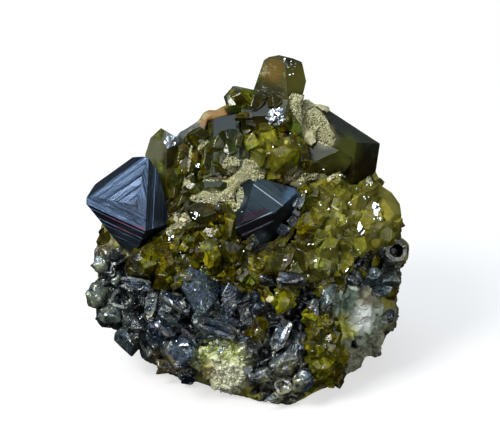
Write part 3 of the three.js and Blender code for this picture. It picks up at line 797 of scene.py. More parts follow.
class Heap:
    """Many copies of small patterns, joined in one shape."""

    def __init__(self, random_source: Source, shape: Optional[Shape] = None) -> None:
        """Start a heap with a shape, or an empty one."""
        self.random = random_source
        self.shape = shape or bmesh.new()
        self.count = 0

    def add(self, patterns: Sequence[Mesh], pose: Matrix, tone: float) -> None:
        """Add one copy of a pattern.

        Args:
            patterns: patterns of which one is chosen at random.
            pose: where it goes and how it is turned and scaled.
            tone: random number that its finish reads.
        """
        copy = self.random.choice(patterns).copy()
        copy.transform(pose)
        layer = copy.attributes.get("tone") or copy.attributes.new("tone", "FLOAT", "POINT")
        layer.data.foreach_set("value", [tone] * len(copy.vertices))
        self.shape.from_mesh(copy)
        bpy.data.meshes.remove(copy)
        self.count += 1


def any_direction(source: Source) -> Vector:
    """Random direction, evenly spread."""
    height = source.uniform(-1.0, 1.0)
    turn = source.uniform(0.0, ROUND)
    reach = math.sqrt(1.0 - height * height)
    return Vector((reach * math.cos(turn), reach * math.sin(turn), height))


def standing(spot: Vector, axis: Vector, roll: float, size: Vector) -> Matrix:
    """Pose of a pattern that stands on a spot.

    Args:
        spot: where its own origin goes.
        axis: where its own Z goes.
        roll: turn about that axis.
        size: its scale along its own X, Y and Z, in metres.

    Returns:
        The pose.
    """
    turn = axis.to_track_quat("Z", "Y").to_matrix().to_4x4()
    return Matrix.Translation(spot) @ turn @ Matrix.Rotation(roll, 4, "Z") @ Matrix.Diagonal((*size, 1.0))


def lying(spot: Vector, out: Vector, turn: float, size: Vector) -> Matrix:
    """Pose of a pattern that lies on a spot.

    Args:
        spot: where its own origin goes.
        out: where its own Z goes.
        turn: turn of its own Y from straight up the show face.
        size: its scale along its own X, Y and Z, in metres.

    Returns:
        The pose.
    """
    side = seen(math.sin(turn), math.cos(turn)).cross(out).normalized()
    turned = Matrix((side, out.cross(side), out)).transposed().to_4x4()
    return Matrix.Translation(spot) @ turned @ Matrix.Diagonal((*size, 1.0))


class Surface:
    """Finds places on finished shapes."""

    def __init__(self, shapes: Iterable[Shape]) -> None:
        """Index the faces of some shapes."""
        self.trees = [BVHTree.FromBMesh(shape) for shape in shapes]

    def hit(self, start: Vector, way: Vector) -> Optional[tuple[Vector, Vector]]:
        """First place and normal along a ray, or none."""
        best = None
        reach = 1.0
        for tree in self.trees:
            spot, normal, _, away = tree.ray_cast(start, way, reach)
            if spot is not None:
                best = (spot, normal)
                reach = away
        return best

    def spot(self, across: float, up: float) -> Optional[tuple[Vector, Vector]]:
        """Place and normal of the surface seen at a spot on the show face."""
        return self.hit(place(across, up, RAY_START), -NEAR)

    def include(self, pieces: Iterable[Piece]) -> None:
        """Index the faces of some finished pieces as well."""
        for piece in pieces:
            corners = [point.co for point in piece.data.vertices]
            faces = [tuple(face.vertices) for face in piece.data.polygons]
            self.trees.append(BVHTree.FromPolygons(corners, faces))


def prism_pattern(source: Source) -> Mesh:
    """Stubby crystal, 1 wide and 1 long, with a slanting, chisel-like end."""
    shape = bmesh.new()
    bmesh.ops.create_cube(shape, size=1.0)
    bmesh.ops.scale(shape, vec=(1.0, source.uniform(0.6, 0.95), 1.5), verts=shape.verts)
    bmesh.ops.translate(shape, vec=(0.0, 0.0, 0.25), verts=shape.verts)
    cuts = (
        ((0, 0, 0.9), (source.uniform(0.4, 1.0), source.uniform(-0.2, 0.2), 1.0)),
        ((0, 0, 0.95), (-source.uniform(0.5, 1.2), source.uniform(0.2, 0.6), 1.0)),
        ((0.42, 0.3, 0), (1.0, 1.0, source.uniform(-0.1, 0.25))),
        ((-0.42, -0.3, 0), (-1.0, -1.0, source.uniform(-0.1, 0.25))),
    )
    return cut_pattern(shape, source, 0.025, cuts)


def wedge_pattern(source: Source) -> Mesh:
    """Crystal, 1 wide, long and high, that lies with a ridge between two long faces upwards."""
    shape = bmesh.new()
    bmesh.ops.create_cube(shape, size=1.0)
    ridge = source.uniform(-0.2, 0.2)
    cuts = (
        ((ridge, 0, 0.48), (-source.uniform(0.35, 0.95), source.uniform(-0.12, 0.12), 1.0)),
        ((ridge, 0, 0.48), (source.uniform(0.35, 0.95), source.uniform(-0.12, 0.12), 1.0)),
        ((0, 0.4, 0.12), (source.uniform(-0.5, 0.7), 1.0, source.uniform(0.1, 0.7))),
        ((-0.2, 0.36, 0), (-source.uniform(0.6, 1.3), 0.9, source.uniform(0.0, 0.3))),
        ((0, -0.42, 0.1), (source.uniform(-0.5, 0.5), -1.0, source.uniform(0.1, 0.7))),
        ((0.28, -0.34, 0), (0.9, -source.uniform(0.4, 1.1), 0.3)),
    )
    return cut_pattern(shape, source, 0.025, cuts)


def cut_pattern(
    shape: Shape,
    source: Source,
    wear: float,
    cuts: Iterable[tuple[Share, Share]] = (),
) -> Mesh:
    """Cut a pattern, wear its edges, number its faces and keep its mesh; the shape is freed.

    Args:
        shape: the shape that is cut.
        source: random numbers for its faces.
        wear: how far its edges are worn.
        cuts: a spot and the way out of each cut.

    Returns:
        The mesh.
    """
    for spot, way in cuts:
        cut_away(shape, Vector(spot), Vector(way))
    bmesh.ops.remove_doubles(shape, verts=shape.verts, dist=2.0 * wear)
    set_facets(shape, source)
    reach = max(point.co.length for point in shape.verts)
    wear_off(shape, shape.edges[:], wear)
    for point in shape.verts:
        point.co *= min(1.0, reach / max(point.co.length, 0.01))
    return kept_mesh(shape)


def cut_away(shape: Shape, spot: Vector, way: Vector, closed: bool = True) -> None:
    """Cut off what lies beyond a plane, and close the cut if that is asked for."""
    made = bmesh.ops.bisect_plane(
        shape,
        geom=shape.verts[:] + shape.edges[:] + shape.faces[:],
        plane_co=spot,
        plane_no=way.normalized(),
        clear_outer=True,
    )
    rim = [item for item in made["geom_cut"] if isinstance(item, bmesh.types.BMEdge)]
    if closed and len(rim) > 2:
        bmesh.ops.contextual_create(shape, geom=rim)


def chip_pattern(source: Source) -> Mesh:
    """Angular chip with flat broken faces."""
    shape = bmesh.new()
    bmesh.ops.create_cube(shape, size=1.3)
    for _ in range(8):
        way = any_direction(source)
        cut_away(shape, source.uniform(0.3, 0.5) * way, way)
    mark(shape, rim=0.0, pit=0.0)
    return cut_pattern(shape, source, 0.05)


def flake_pattern(source: Source) -> Mesh:
    """Thin flat flake, 1 wide and 1 long."""
    shape = bmesh.new()
    bmesh.ops.create_cube(shape, size=1.0)
    for _ in range(4):
        turn = source.uniform(0.0, ROUND)
        way = Vector((math.cos(turn), math.sin(turn), 0.0))
        cut_away(shape, source.uniform(0.28, 0.44) * way, way)
    return cut_pattern(shape, source, 0.03)


def grain_pattern(source: Source) -> Mesh:
    """Rough grain."""
    shape = bmesh.new()
    bmesh.ops.create_icosphere(shape, subdivisions=1, radius=0.5)
    for point in shape.verts:
        point.co *= source.uniform(0.75, 1.2)
    return kept_mesh(shape)


def mark_rims(shape: Shape) -> None:
    """Mark the points on the open edges of a sheet, before it gets its thickness."""
    mark(shape, rim=0.0, pit=0.0)
    rim = shape.verts.layers.float["rim"]
    for point in shape.verts:
        if point.is_boundary:
            point[rim] = 1.0


def thickened(shape: Shape, thickness: float, smooth: bool = False) -> None:
    """Give an open sheet its thickness, with its faces pointing out."""
    bmesh.ops.recalc_face_normals(shape, faces=shape.faces)
    bmesh.ops.solidify(shape, geom=shape.faces[:], thickness=thickness)
    bmesh.ops.recalc_face_normals(shape, faces=shape.faces)
    for face in shape.faces:
        face.smooth = smooth


def any_start(source: Source) -> Vector:
    """Random place to read noise from."""
    return Vector((source.uniform(-9, 9), source.uniform(-9, 9), source.uniform(-9, 9)))


def dent(shape: Shape, start: Vector, *waves: Range) -> None:
    """Move the points of a shape by noise read from a start, in waves of a height and a fineness."""
    for point in shape.verts:
        for height, fineness in waves:
            point.co += height * noise.noise_vector(fineness * point.co + start)


def lump_pattern(source: Source) -> Mesh:
    """Rounded, dented lump of crust, 1 across."""
    shape = bmesh.new()
    bmesh.ops.create_icosphere(shape, subdivisions=3, radius=0.5)
    dent(shape, any_start(source), (0.28, 2.0), (0.04, 4.5))
    flatness = source.uniform(0.5, 0.9)
    for point in shape.verts:
        point.co.z *= flatness
    for face in shape.faces:
        face.smooth = True
    mark(shape, rim=0.0, pit=0.0)
    return kept_mesh(shape)


def stack_pattern(source: Source) -> Mesh:
    """Stack of parallel plates of crust with pale edges, partly worn and partly painted highlight, 1
    long.
    """
    shape = bmesh.new()
    rim = shape.verts.layers.float.new("rim")
    for step in range(source.randint(3, 5)):
        made = bmesh.ops.create_cube(shape, size=1.0)
        shift = (source.uniform(-0.1, 0.1), source.uniform(-0.07, 0.07), 0.15 * step - 0.25)
        size = (source.uniform(0.75, 1.0), source.uniform(0.35, 0.6), source.uniform(0.07, 0.12))
        bmesh.ops.scale(shape, vec=size, verts=made["verts"])
        bmesh.ops.translate(shape, vec=shift, verts=made["verts"])
    long = [edge for edge in shape.edges if abs(edge.verts[0].co.x - edge.verts[1].co.x) > 0.5]
    bmesh.ops.subdivide_edges(shape, edges=long, cuts=5, use_grid_fill=True)
    shape.normal_update()
    flats = [face for face in shape.faces if abs(face.normal.z) > 0.9]
    bmesh.ops.inset_region(shape, faces=flats, thickness=0.05, use_boundary=True)
    inner = {corner for face in flats for corner in face.verts}
    start = any_start(source)
    bend = source.uniform(-0.3, 0.6)
    for point in shape.verts:
        point[rim] = 0.0 if point in inner else 0.8
        point.co.z += bend * point.co.x * point.co.x
    dent(shape, start, (0.11, 2.5))
    mark(shape, pit=0.0)
    return kept_mesh(shape)


def cup_pattern(source: Source) -> Mesh:
    """Open, dented cup of crust, 1 across, with a thin rim and an inside darkened as painted shade."""
    shape = bmesh.new()
    bmesh.ops.create_uvsphere(shape, u_segments=14, v_segments=9, radius=0.5)
    height = source.uniform(0.02, 0.2)
    way = Vector((source.uniform(-0.4, 0.4), source.uniform(-0.4, 0.4), 1))
    cut_away(shape, Vector((0, 0, height)), way, closed=False)
    dent(shape, any_start(source), (0.24, 2.2), (0.07, 6.0))
    mark_rims(shape)
    thickened(shape, source.uniform(0.1, 0.17))
    pit = shape.verts.layers.float["pit"]
    for point in shape.verts:
        inward = point.normal.dot(-point.co)
        point[pit] = 0.8 if inward > 0.1 and not point.co.z > 0.0 else 0.0
    return kept_mesh(shape)


def curl_pattern(source: Source) -> Mesh:
    """Curled band of crust, like a piece of a broken pipe."""
    shape = bmesh.new()
    bmesh.ops.create_grid(shape, x_segments=12, y_segments=6, size=0.5)
    sweep = source.uniform(1.8, 3.6)
    flare = source.uniform(-0.25, 0.35)
    for point in shape.verts:
        turn = sweep * point.co.x
        radius = 0.42 + flare * point.co.y
        point.co = Vector((radius * math.sin(turn), 0.85 * point.co.y, radius * math.cos(turn)))
    dent(shape, any_start(source), (0.18, 2.0))
    mark_rims(shape)
    thickened(shape, source.uniform(0.13, 0.24), smooth=True)
    return kept_mesh(shape)


def plate_pattern(source: Source) -> Mesh:
    """Bent, fluted plate of crust."""
    shape = bmesh.new()
    bmesh.ops.create_grid(shape, x_segments=7, y_segments=5, size=0.5)
    bend = source.uniform(-0.5, 0.9)
    start = any_start(source)
    flutes = [source.uniform(-0.09, 0.09) for _ in range(8)]
    for point in shape.verts:
        flute = flutes[round(7.0 * (point.co.x + 0.5))]
        point.co.y += 0.8 * flute
        point.co.x *= 1.0 - 0.2 * abs(2.0 * point.co.y) ** 4
        point.co.z = flute - bend * point.co.x * point.co.x
    dent(shape, start, (0.16, 2.4))
    mark_rims(shape)
    thickened(shape, source.uniform(0.16, 0.3))
    return kept_mesh(shape)


@dataclass(frozen=True)
class Disc:
    """Round stretch of the show face."""

    across: float
    up: float
    reach: float

    def cover(self, across: float, up: float, soft: float) -> float:
        """How far a spot lies inside, from 0 to 1 over a soft edge."""
        away = math.hypot(across - self.across, up - self.up)
        return smooth_step(0.0, 1.0, (self.reach - away) / soft + 0.5)

    def any_spot(self, source: Source) -> Spot:
        """Random spot inside."""
        away = self.reach * math.sqrt(source.random())
        turn = source.uniform(0.0, ROUND)
        return self.across + away * math.cos(turn), self.up + away * math.sin(turn)


def strongest(discs: Iterable[Disc], across: float, up: float, soft: float) -> float:
    """Cover of the disc that covers a spot best."""
    return max((disc.cover(across, up, soft) for disc in discs), default=0.0)


def spot_in(discs: Sequence[Disc], source: Source) -> Spot:
    """Random spot in one of some discs, larger discs more often."""
    return source.choices(discs, [disc.reach**2 for disc in discs])[0].any_spot(source)


CRUST_DISCS = (
    Disc(-18.5, 15.5, 8.6), Disc(-9.5, 14.8, 7.2), Disc(0.8, 12.6, 6.4), Disc(8, 17.5, 5.2),
    Disc(4.8, 6, 5.8), Disc(20.2, 22, 5), Disc(-22.6, 23, 3.4), Disc(-12, 9, 6), Disc(6.5, 11.5, 3),
    Disc(-1.5, 9.5, 4.5),
)
SAND_DISCS = (
    Disc(10, 45, 4.6), Disc(13, 40.5, 2.2), Disc(0.6, 37.6, 3.4), Disc(-5.5, 33.8, 3.2),
    Disc(-8.5, 44.5, 4.4), Disc(-8.5, 38, 3.2), Disc(-13.5, 41.5, 2.5), Disc(8, 33.5, 2.2),
)
BROKEN_DISCS = (Disc(19.5, 9.4, 6.6), Disc(15.5, 4, 3))
KNOB_DISC = Disc(17.3, 14.4, 4.7)
TUBE = Disc(23.9, 24.8, 1.15)
# Holes in the crust: pushed in, and darkened by the finish as painted shade
HOLES = (
    TUBE, Disc(-11.7, 19.2, 1.3), Disc(-9.8, 12.2, 1.7), Disc(17.1, 9.8, 0.7), Disc(11.2, 16.6, 1),
    Disc(-19.6, 17.3, 0.9), Disc(2.6, 8.6, 1), Disc(-3.4, 14, 0.9), Disc(4.6, 18.9, 1.2),
    Disc(9.4, 18.2, 1.6), Disc(8.1, 15.4, 1.5), Disc(2, 17.8, 1.2), Disc(-14.6, 20.4, 1.2),
    Disc(20.4, 22.8, 1.3),
)


@dataclass
class Relief:
    """Height in millimetres and marks of one point of the rock."""

    height: float = 0.0
    rim: float = 0.0
    pit: float = 0.0
    tone: float = 0.0


@dataclass
class HostRock:
    """The rock with its lumps, hollows and broken faces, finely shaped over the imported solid."""

    voxel: float = 0.42
    crust_cell: float = 4.4
    crust_height: float = 1.25
    cup_depth: float = 1.6
    fold: float = 1.1
    hole_depth: float = 2.2
    back_start: float = -13.0
    base_rise: float = 0.7

    def build(self, finish: RockFinish) -> tuple[Piece, Shape]:
        """Make the rock.

        Args:
            finish: its finish.

        Returns:
            The piece, and a copy of its shape for placing others on.
        """
        shape = self.remeshed(merged_copy("matrix"))
        self.refine(shape)
        for _ in range(3):
            loose = [point for point in shape.verts if point.co.z > 0.3 * MM]
            bmesh.ops.smooth_vert(
                shape, verts=loose, factor=0.5, use_axis_x=True, use_axis_y=True, use_axis_z=True
            )
        shape.normal_update()
        self.roughen(shape)
        for face in shape.faces:
            face.smooth = True
        copy = shape.copy()
        piece = finished(shape, "host_rock", finish.material(), ("matrix",))
        return piece, copy

    def remeshed(self, shape: Shape) -> Shape:
        """Even fine mesh round a shape; the shape is freed."""
        holder = placed("remesh", kept_mesh(shape))
        modifier = holder.modifiers.new("remesh", "REMESH")
        modifier.mode = "VOXEL"
        modifier.voxel_size = MM * self.voxel
        graph = bpy.context.evaluated_depsgraph_get()
        fine = bpy.data.meshes.new_from_object(holder.evaluated_get(graph))
        made = bmesh.new()
        made.from_mesh(fine)
        bpy.data.objects.remove(holder)
        bpy.data.meshes.remove(fine)
        return made

    def refine(self, shape: Shape) -> None:
        """Halve the edges on the crust of the show face."""
        edges = []
        for edge in shape.edges:
            spot = sight_of((edge.verts[0].co + edge.verts[1].co) / 2)
            rough = strongest(CRUST_DISCS + BROKEN_DISCS, spot.x, spot.y, 0.5)
            if spot.z > -9.0 and rough > 0.5:
                edges.append(edge)
        bmesh.ops.subdivide_edges(shape, edges=edges, cuts=1, use_grid_fill=True)
        bmesh.ops.triangulate(shape, faces=[face for face in shape.faces if len(face.verts) > 4])

    def roughen(self, shape: Shape) -> None:
        """Move every point along its normal by the relief of its zone, and mark it."""
        names = ("crust", "sand", "knob", "broken", "front", "rim", "pit", "tone")
        layers = {name: shape.verts.layers.float.new(name) for name in names}
        moves = []
        for point in shape.verts:
            zones = self.zones(point.co)
            relief = self.relief(point.co / MM, zones)
            marks = {**zones, "rim": relief.rim, "pit": relief.pit, "tone": relief.tone}
            spot = sight_of(point.co)
            # Holes are pushed in and marked as crust pits, which the finish darkens as painted shade
            hole = strongest(HOLES, spot.x, spot.y, 0.6) * zones["front"]
            marks["pit"] = max(marks["pit"], hole)
            marks["crust"] = max(marks["crust"], hole)
            for name, layer in layers.items():
                point[layer] = marks[name]
            ease = smooth_step(0.0, MM * self.base_rise, point.co.z)
            facing = smooth_step(0.0, 0.6, abs(point.normal.dot(NEAR)))
            height = relief.height * (1.0 - hole) * (0.5 + 0.5 * facing)
            move = height * point.normal - self.hole_depth * hole * NEAR
            moves.append(MM * ease * move)
        for point, move in zip(shape.verts, moves):
            point.co += move
            point.co.z = max(point.co.z, 0.0)
        shape.normal_update()

    def zones(self, point: Vector) -> dict[str, float]:
        """Share of each zone at a place."""
        spot = sight_of(point)
        front = smooth_step(self.back_start, self.back_start + 4.0, spot.z)
        wobble = 1.1 * noise.noise(point / (2.2 * MM))
        across = spot.x + wobble
        up = spot.y + 1.1 * noise.noise(point / (2.0 * MM) + Vector((7, 3, 1)))
        crust = strongest(CRUST_DISCS, across, up, 1.4) * front
        sand = strongest(SAND_DISCS, across, up, 1.2) * front
        broken = strongest(BROKEN_DISCS, across, up, 1.2) * front
        knob = KNOB_DISC.cover(across, up, 1.0) * front
        behind = 1.0 - front
        patch = noise.noise(point / (9.0 * MM) + Vector((4, 4, 4)))
        crust += behind * smooth_step(-0.1, 0.1, patch)
        broken += behind * smooth_step(0.1, -0.1, patch)
        sand += behind * smooth_step(0.18, 0.3, noise.noise(point / (7.0 * MM)))
        return {"crust": crust, "sand": sand, "knob": knob, "broken": broken, "front": front}

    def relief(self, point: Vector, zones: dict[str, float]) -> Relief:
        """Relief at a place in millimetres, mixed from its zones."""
        swell = 0.3 * noise.noise(point / 4.0) + 0.12 * noise.noise(point / 1.3)
        made = Relief(height=swell)
        if zones["crust"] > 0.01:
            crust = self.crust_relief(point)
            made.height += zones["crust"] * crust.height
            made.rim = zones["crust"] * crust.rim
            made.pit = zones["crust"] * crust.pit
            made.tone = crust.tone
        rough = zones["sand"] + zones["broken"]
        if rough > 0.01:
            facets = noise.voronoi(point / 0.9)[0]
            made.height += rough * 0.28 * (facets[1] - facets[0] - 0.3)
            dents = 0.7 * noise.noise(point / 1.7) + 0.5 * noise.noise(point / 0.7)
            made.height += zones["broken"] * dents
        made.height += zones["knob"] * 0.3 * noise.noise(point / 1.6)
        return made

    def crust_relief(self, point: Vector) -> Relief:
        """Lumps, tilted plates and open cups of the crust."""
        warped = point + 0.7 * noise.noise_vector(point / 1.8)
        distances, middles = noise.voronoi(warped / self.crust_cell)
        gap = distances[1] - distances[0]
        kind = noise.cell(7.3 * middles[0])
        tilt = noise.noise_vector(5.1 * middles[0])
        edge = smooth_step(0.0, 0.16, gap)
        dome = max(0.0, 1.0 - (distances[0] / 0.75) ** 2)
        lean = (warped / self.crust_cell - middles[0]).dot(tilt)
        height = self.crust_height * (dome * edge + 1.1 * lean * edge)
        ring = math.exp(-(((gap - 0.15) / 0.08) ** 2))
        # Pits mark crevices, cup bottoms and fold valleys, which the finish darkens as painted shade;
        # rims are painted pale, partly as painted highlight
        rim = 0.55 * ring
        pit = 0.75 * (1.0 - edge)
        if kind > 0.3:
            bowl = smooth_step(0.16, 0.42, gap)
            height = 0.4 * ring - self.cup_depth * bowl
            rim = 0.7 * ring
            pit = max(pit, bowl)
        folded = point + 1.1 * noise.noise_vector(point / 2.4 + Vector((3, 8, 2)))
        ridge = (1.0 - abs(noise.noise(folded / 2.6))) ** 3
        crease = (1.0 - abs(noise.noise(folded / 1.1))) ** 2
        height += self.fold * (ridge - 0.5) + 0.15 * self.fold * (crease - 0.6)
        rim = max(rim, 0.8 * smooth_step(0.86, 0.97, ridge) * smooth_step(0.7, 0.9, crease))
        pit = max(pit, 0.7 * smooth_step(0.3, 0.1, ridge))
        tone = 0.5 + 0.5 * noise.cell(3.7 * middles[0] + Vector((5, 5, 5)))
        return Relief(height - 0.25, rim, pit, tone)


class Form(Enum):
    """Forms of the loose pieces of crust."""

    CUP = "cup"
    CURL = "curl"
    PLATE = "plate"
    STACK = "stack"
    LUMP = "lump"
    CHIP = "chip"


CUP, CURL, PLATE, STACK, LUMP, CHIP = Form

# How the patterns of each form are made, and how many of them
PATTERN_MAKERS = {
    CUP: (cup_pattern, 5),
    CURL: (curl_pattern, 4),
    PLATE: (plate_pattern, 6),
    STACK: (stack_pattern, 3),
    LUMP: (lump_pattern, 3),
    CHIP: (chip_pattern, 6),
}


@dataclass(frozen=True)
class Shell:
    """A listed piece of crust: its form, place, turn, width, length, depth, tone and lean."""

    form: Form
    across: float
    up: float
    turn: float
    width: float
    length: float
    depth: float
    tone: float
    lean: Spot = (0.0, 0.0)

    def set_in(self, heap: Heap, patterns: dict[Form, list[Mesh]], surface: Surface) -> None:
        """Set the piece on a surface and add it to a heap."""
        found = surface.spot(self.across, self.up)
        if found is None:
            log.warning("no surface at %.1f %.1f", self.across, self.up)
            return
        out = seen(*self.lean, 1.0).normalized()
        size = MM * Vector((self.width, self.length, self.depth))
        spot = found[0] + 0.14 * size.z * NEAR
        heap.add(patterns[self.form], lying(spot, out, self.turn, size), self.tone)


@dataclass
class CrustPlates:
    """Loose lumps, plates, chips, cups and curls of crust, large ones set one by one and small ones."""

    shells: tuple[Shell, ...]
    on_front: int = 60
    behind: int = 90
    size: Range = (1.2, 3.8)
    clear_of_holes: float = 1.6
    middle: Share = (0.0, 24.0, -14.0)
    far: float = 80.0
    steepest: float = -0.35
    lowest: float = 1.2
    lean: float = 0.8
    sunk: float = 0.2
    edge_on: float = 0.45
    seed: int = 23

    def build(self, surface: Surface, finish: Material) -> Piece:
        """Make them.

        Args:
            surface: what they stand on.
            finish: their finish.

        Returns:
            The piece.
        """
        source = random.Random(self.seed)
        patterns = {
            form: [make(source) for _ in range(count)]
            for form, (make, count) in PATTERN_MAKERS.items()
        }
        self.lumps = patterns[LUMP]
        heap = Heap(source)
        mixed = [pattern for made in patterns.values() for pattern in made]
        self.cover_front(heap, surface, mixed)
        self.cover_back(heap, surface, 2 * self.lumps + patterns[CURL])
        for shell in self.shells:
            shell.set_in(heap, patterns, surface)
        return finished(heap.shape, "crust_plates", finish)

    def cover_front(self, heap: Heap, surface: Surface, patterns: Sequence[Mesh]) -> None:
        """Set pieces over the crust of the show face."""
        while heap.count < self.on_front:
            across, up = spot_in(CRUST_DISCS, heap.random)
            if strongest(HOLES, across, up, self.clear_of_holes) > 0.0:
                continue
            spot = surface.spot(across, up)
            if spot is not None:
                self.set_piece(heap, spot, patterns)

    def cover_back(self, heap: Heap, surface: Surface, patterns: Sequence[Mesh]) -> None:
        """Set pieces over the sides and the back."""
        middle = place(*self.middle)
        while heap.count < self.on_front + self.behind:
            way = any_direction(heap.random)
            if way.dot(NEAR) > 0.1 or way.z < self.steepest:
                continue
            spot = surface.hit(middle + self.far * MM * way, -way)
            if spot is not None:
                self.set_piece(heap, spot, patterns)

    def set_piece(self, heap: Heap, spot: tuple[Vector, Vector], patterns: Sequence[Mesh]) -> None:
        """Set one piece on a place with its normal."""
        source = heap.random
        point, normal = spot
        if point.z < self.lowest * MM:
            return
        facing = abs(normal.dot(NEAR))
        size = MM * source.triangular(*self.size, self.size[0]) * (0.55 + 0.45 * facing)
        axis = (normal + self.lean * any_direction(source)).normalized()
        scale = size * Vector((1.0, source.uniform(0.6, 1.0), source.uniform(0.5, 0.9)))
        sunk = point - self.sunk * size * normal
        pose = standing(sunk, axis, source.uniform(0.0, ANY_ROLL), scale)
        fitting = self.lumps if facing < self.edge_on else patterns
        heap.add(fitting, pose, source.random())


@dataclass(frozen=True)
class Gem:
    """A listed crystal: its place, turn from straight up, width, length and brightness."""

    across: float
    up: float
    turn: float
    width: float
    length: float
    tone: float

    def set_in(self, heap: Heap, patterns: Sequence[Mesh], surface: Surface) -> None:
        """Lay the crystal on a surface and add it to a heap."""
        found = surface.spot(self.across, self.up)
        if found is None:
            log.warning("no surface at %.1f %.1f", self.across, self.up)
            return
        out = (0.6 * NEAR + found[1] + 0.3 * any_direction(heap.random)).normalized()
        size = MM * Vector((self.width, self.length, CRYSTAL_DEPTH * self.width))
        heap.add(patterns, lying(found[0] + 0.04 * size.x * out, out, self.turn, size), self.tone)


@dataclass
class CrystalCrust:
    """A crust of fused diopside: packed crystals, listed ones and many small ones."""

    name: str
    discs: tuple[Disc, ...]
    count: int
    width: Range
    length: Range
    gems: tuple[Gem, ...] = ()
    tops: tuple[Gem, ...] = ()
    lean: float = 0.45
    sunk: float = 0.24
    lying: float = 0.65
    seed: int = 5

    def build(self, surface: Surface, top: Surface, finish: Material) -> Piece:
        """Make the crust.

        Args:
            surface: what its crystals lie on.
            top: what those crystals lie on that are set on top of the named ones.
            finish: its finish.

        Returns:
            The piece.
        """
        source = random.Random(self.seed)
        stubs = [prism_pattern(source) for _ in range(8)]
        wedges = [wedge_pattern(source) for _ in range(12)]
        node = f"diopside_{self.name}"
        big = merged_copy(node)
        wear_off(big, sharp_edges(big, 0.3), 0.05 * MM, clamped=False)
        mark(big, tone=0.4)
        set_facets(big, source)
        heap = Heap(source, big)
        for gem in self.gems:
            gem.set_in(heap, wedges, surface)
        for gem in self.tops:
            gem.set_in(heap, wedges, top)
        self.scatter(heap, stubs, wedges, surface)
        return finished(heap.shape, f"crystals_{self.name}", finish, (node,))

    def scatter(
        self,
        heap: Heap,
        stubs: Sequence[Mesh],
        wedges: Sequence[Mesh],
        surface: Surface,
    ) -> None:
        """Set the small crystals, some standing and some lying.

        Args:
            heap: the heap that they go into.
            stubs: patterns that stand.
            wedges: patterns that lie.
            surface: what they are set on.
        """
        source = heap.random
        for _ in range(self.count):
            spot = surface.spot(*spot_in(self.discs, source))
            if spot is None:
                continue
            point, normal = spot
            axis = (normal + self.lean * any_direction(source)).normalized()
            wide = MM * source.triangular(*self.width, self.width[0])
            long = MM * source.triangular(*self.length, self.length[0])
            if source.random() < self.lying:
                size = Vector((wide, long, CRYSTAL_DEPTH * wide))
                pose = lying(point - self.sunk * wide * axis, axis, source.uniform(-1.6, 1.6), size)
                heap.add(wedges, pose, source.random())
            else:
                upright = Vector((wide, CRYSTAL_DEPTH * wide, 0.8 * long))
                spot = point - (self.sunk + 0.2) * wide * axis
                pose = standing(spot, axis, source.uniform(0.0, ANY_ROLL), upright)
                heap.add(stubs, pose, source.random())


@dataclass
class GlassyKnob:
    """The grey-white glassy knob: fused blocks and lumps that stand round its middle."""

    disc: Disc = KNOB_DISC
    count: int = 70
    size: Range = (1.0, 2.8)
    seed: int = 41

    def build(self, surface: Surface, finish: Material) -> Piece:
        """Make the knob on a surface with a finish, and return the piece."""
        source = random.Random(self.seed)
        patterns = [wedge_pattern(source) for _ in range(4)] + [lump_pattern(source) for _ in range(5)]
        heap = Heap(source)
        for _ in range(self.count):
            across, up = spot_in((self.disc,), source)
            found = surface.spot(across, up)
            if found is None:
                continue
            size = MM * source.uniform(*self.size)
            outward = seen(across - self.disc.across, up - self.disc.up, 5.0).normalized()
            axis = (outward + 0.4 * any_direction(source)).normalized()
            scale = size * Vector((1.0, source.uniform(0.8, 1.3), source.uniform(0.4, 0.7)))
            tone = source.random()
            heap.add(patterns, lying(found[0], axis, source.uniform(-1.5, 1.5), scale), tone)
        return finished(heap.shape, "glassy_knob", finish)


@dataclass
class NamedCrystal:
    """One of the big diopside crystals, with slightly worn edges."""

    node: str
    tone: float = 0.4
    wear: float = 0.08
    seed: int = 9

    def build(self, finish: Diopside) -> Piece:
        """Make the crystal with a finish, and return the piece."""
        shape = merged_copy(self.node)
        wear_off(shape, sharp_edges(shape, 0.1), self.wear * MM, segments=2)
        mark(shape, tone=self.tone)
        set_facets(shape, random.Random(self.seed))
        name = self.node.replace("diopside_", "crystal_")
        return finished(shape, name, finish.material(), (self.node,))


@dataclass(frozen=True)
class Drift:
    """A heap of sand: its middle, its half-lengths, its turn from straight up and its height."""

    across: float
    up: float
    half_long: float
    half_short: float
    turn: float
    height: float = 0.5

    def spot(self, source: Source) -> tuple[float, float, float]:
        """Random place across and up in the heap, and how high the sand may lie there."""
        away = math.sqrt(source.random())
        angle = source.uniform(0.0, ROUND)
        long = away * math.cos(angle) * self.half_long
        short = away * math.sin(angle) * self.half_short
        across = self.across + long * math.sin(self.turn) + short * math.cos(self.turn)
        up = self.up + long * math.cos(self.turn) - short * math.sin(self.turn)
        return across, up, self.height * (1.0 - away * away)


@dataclass
class Sand:
    """Sand between the upper crystals."""

    drifts: tuple[Drift, ...]
    grain: Range = (0.12, 0.3)
    cover: float = 2.8
    seed: int = 51

    def build(self, surface: Surface, finish: "GrainFinish") -> Piece:
        """Make the sand on a surface with a finish, and return the piece."""
        source = random.Random(self.seed)
        grains = [grain_pattern(source) for _ in range(6)]
        heap = Heap(source)
        mean = 0.5 * sum(self.grain)
        for drift in self.drifts:
            area = math.pi * drift.half_long * drift.half_short
            for _ in range(int(self.cover * area / mean**2)):
                across, up, high = drift.spot(source)
                found = surface.spot(across, up)
                if found is None:
                    continue
                size = MM * source.uniform(*self.grain)
                point = found[0] + MM * source.uniform(-0.1, high) * NEAR
                scale = size * Vector((1.0, source.uniform(0.6, 1.0), source.uniform(0.6, 1.0)))
                pose = standing(point, any_direction(source), 0.0, scale)
                heap.add(grains, pose, source.random())
        return finished(heap.shape, "sand_grains", finish.material())


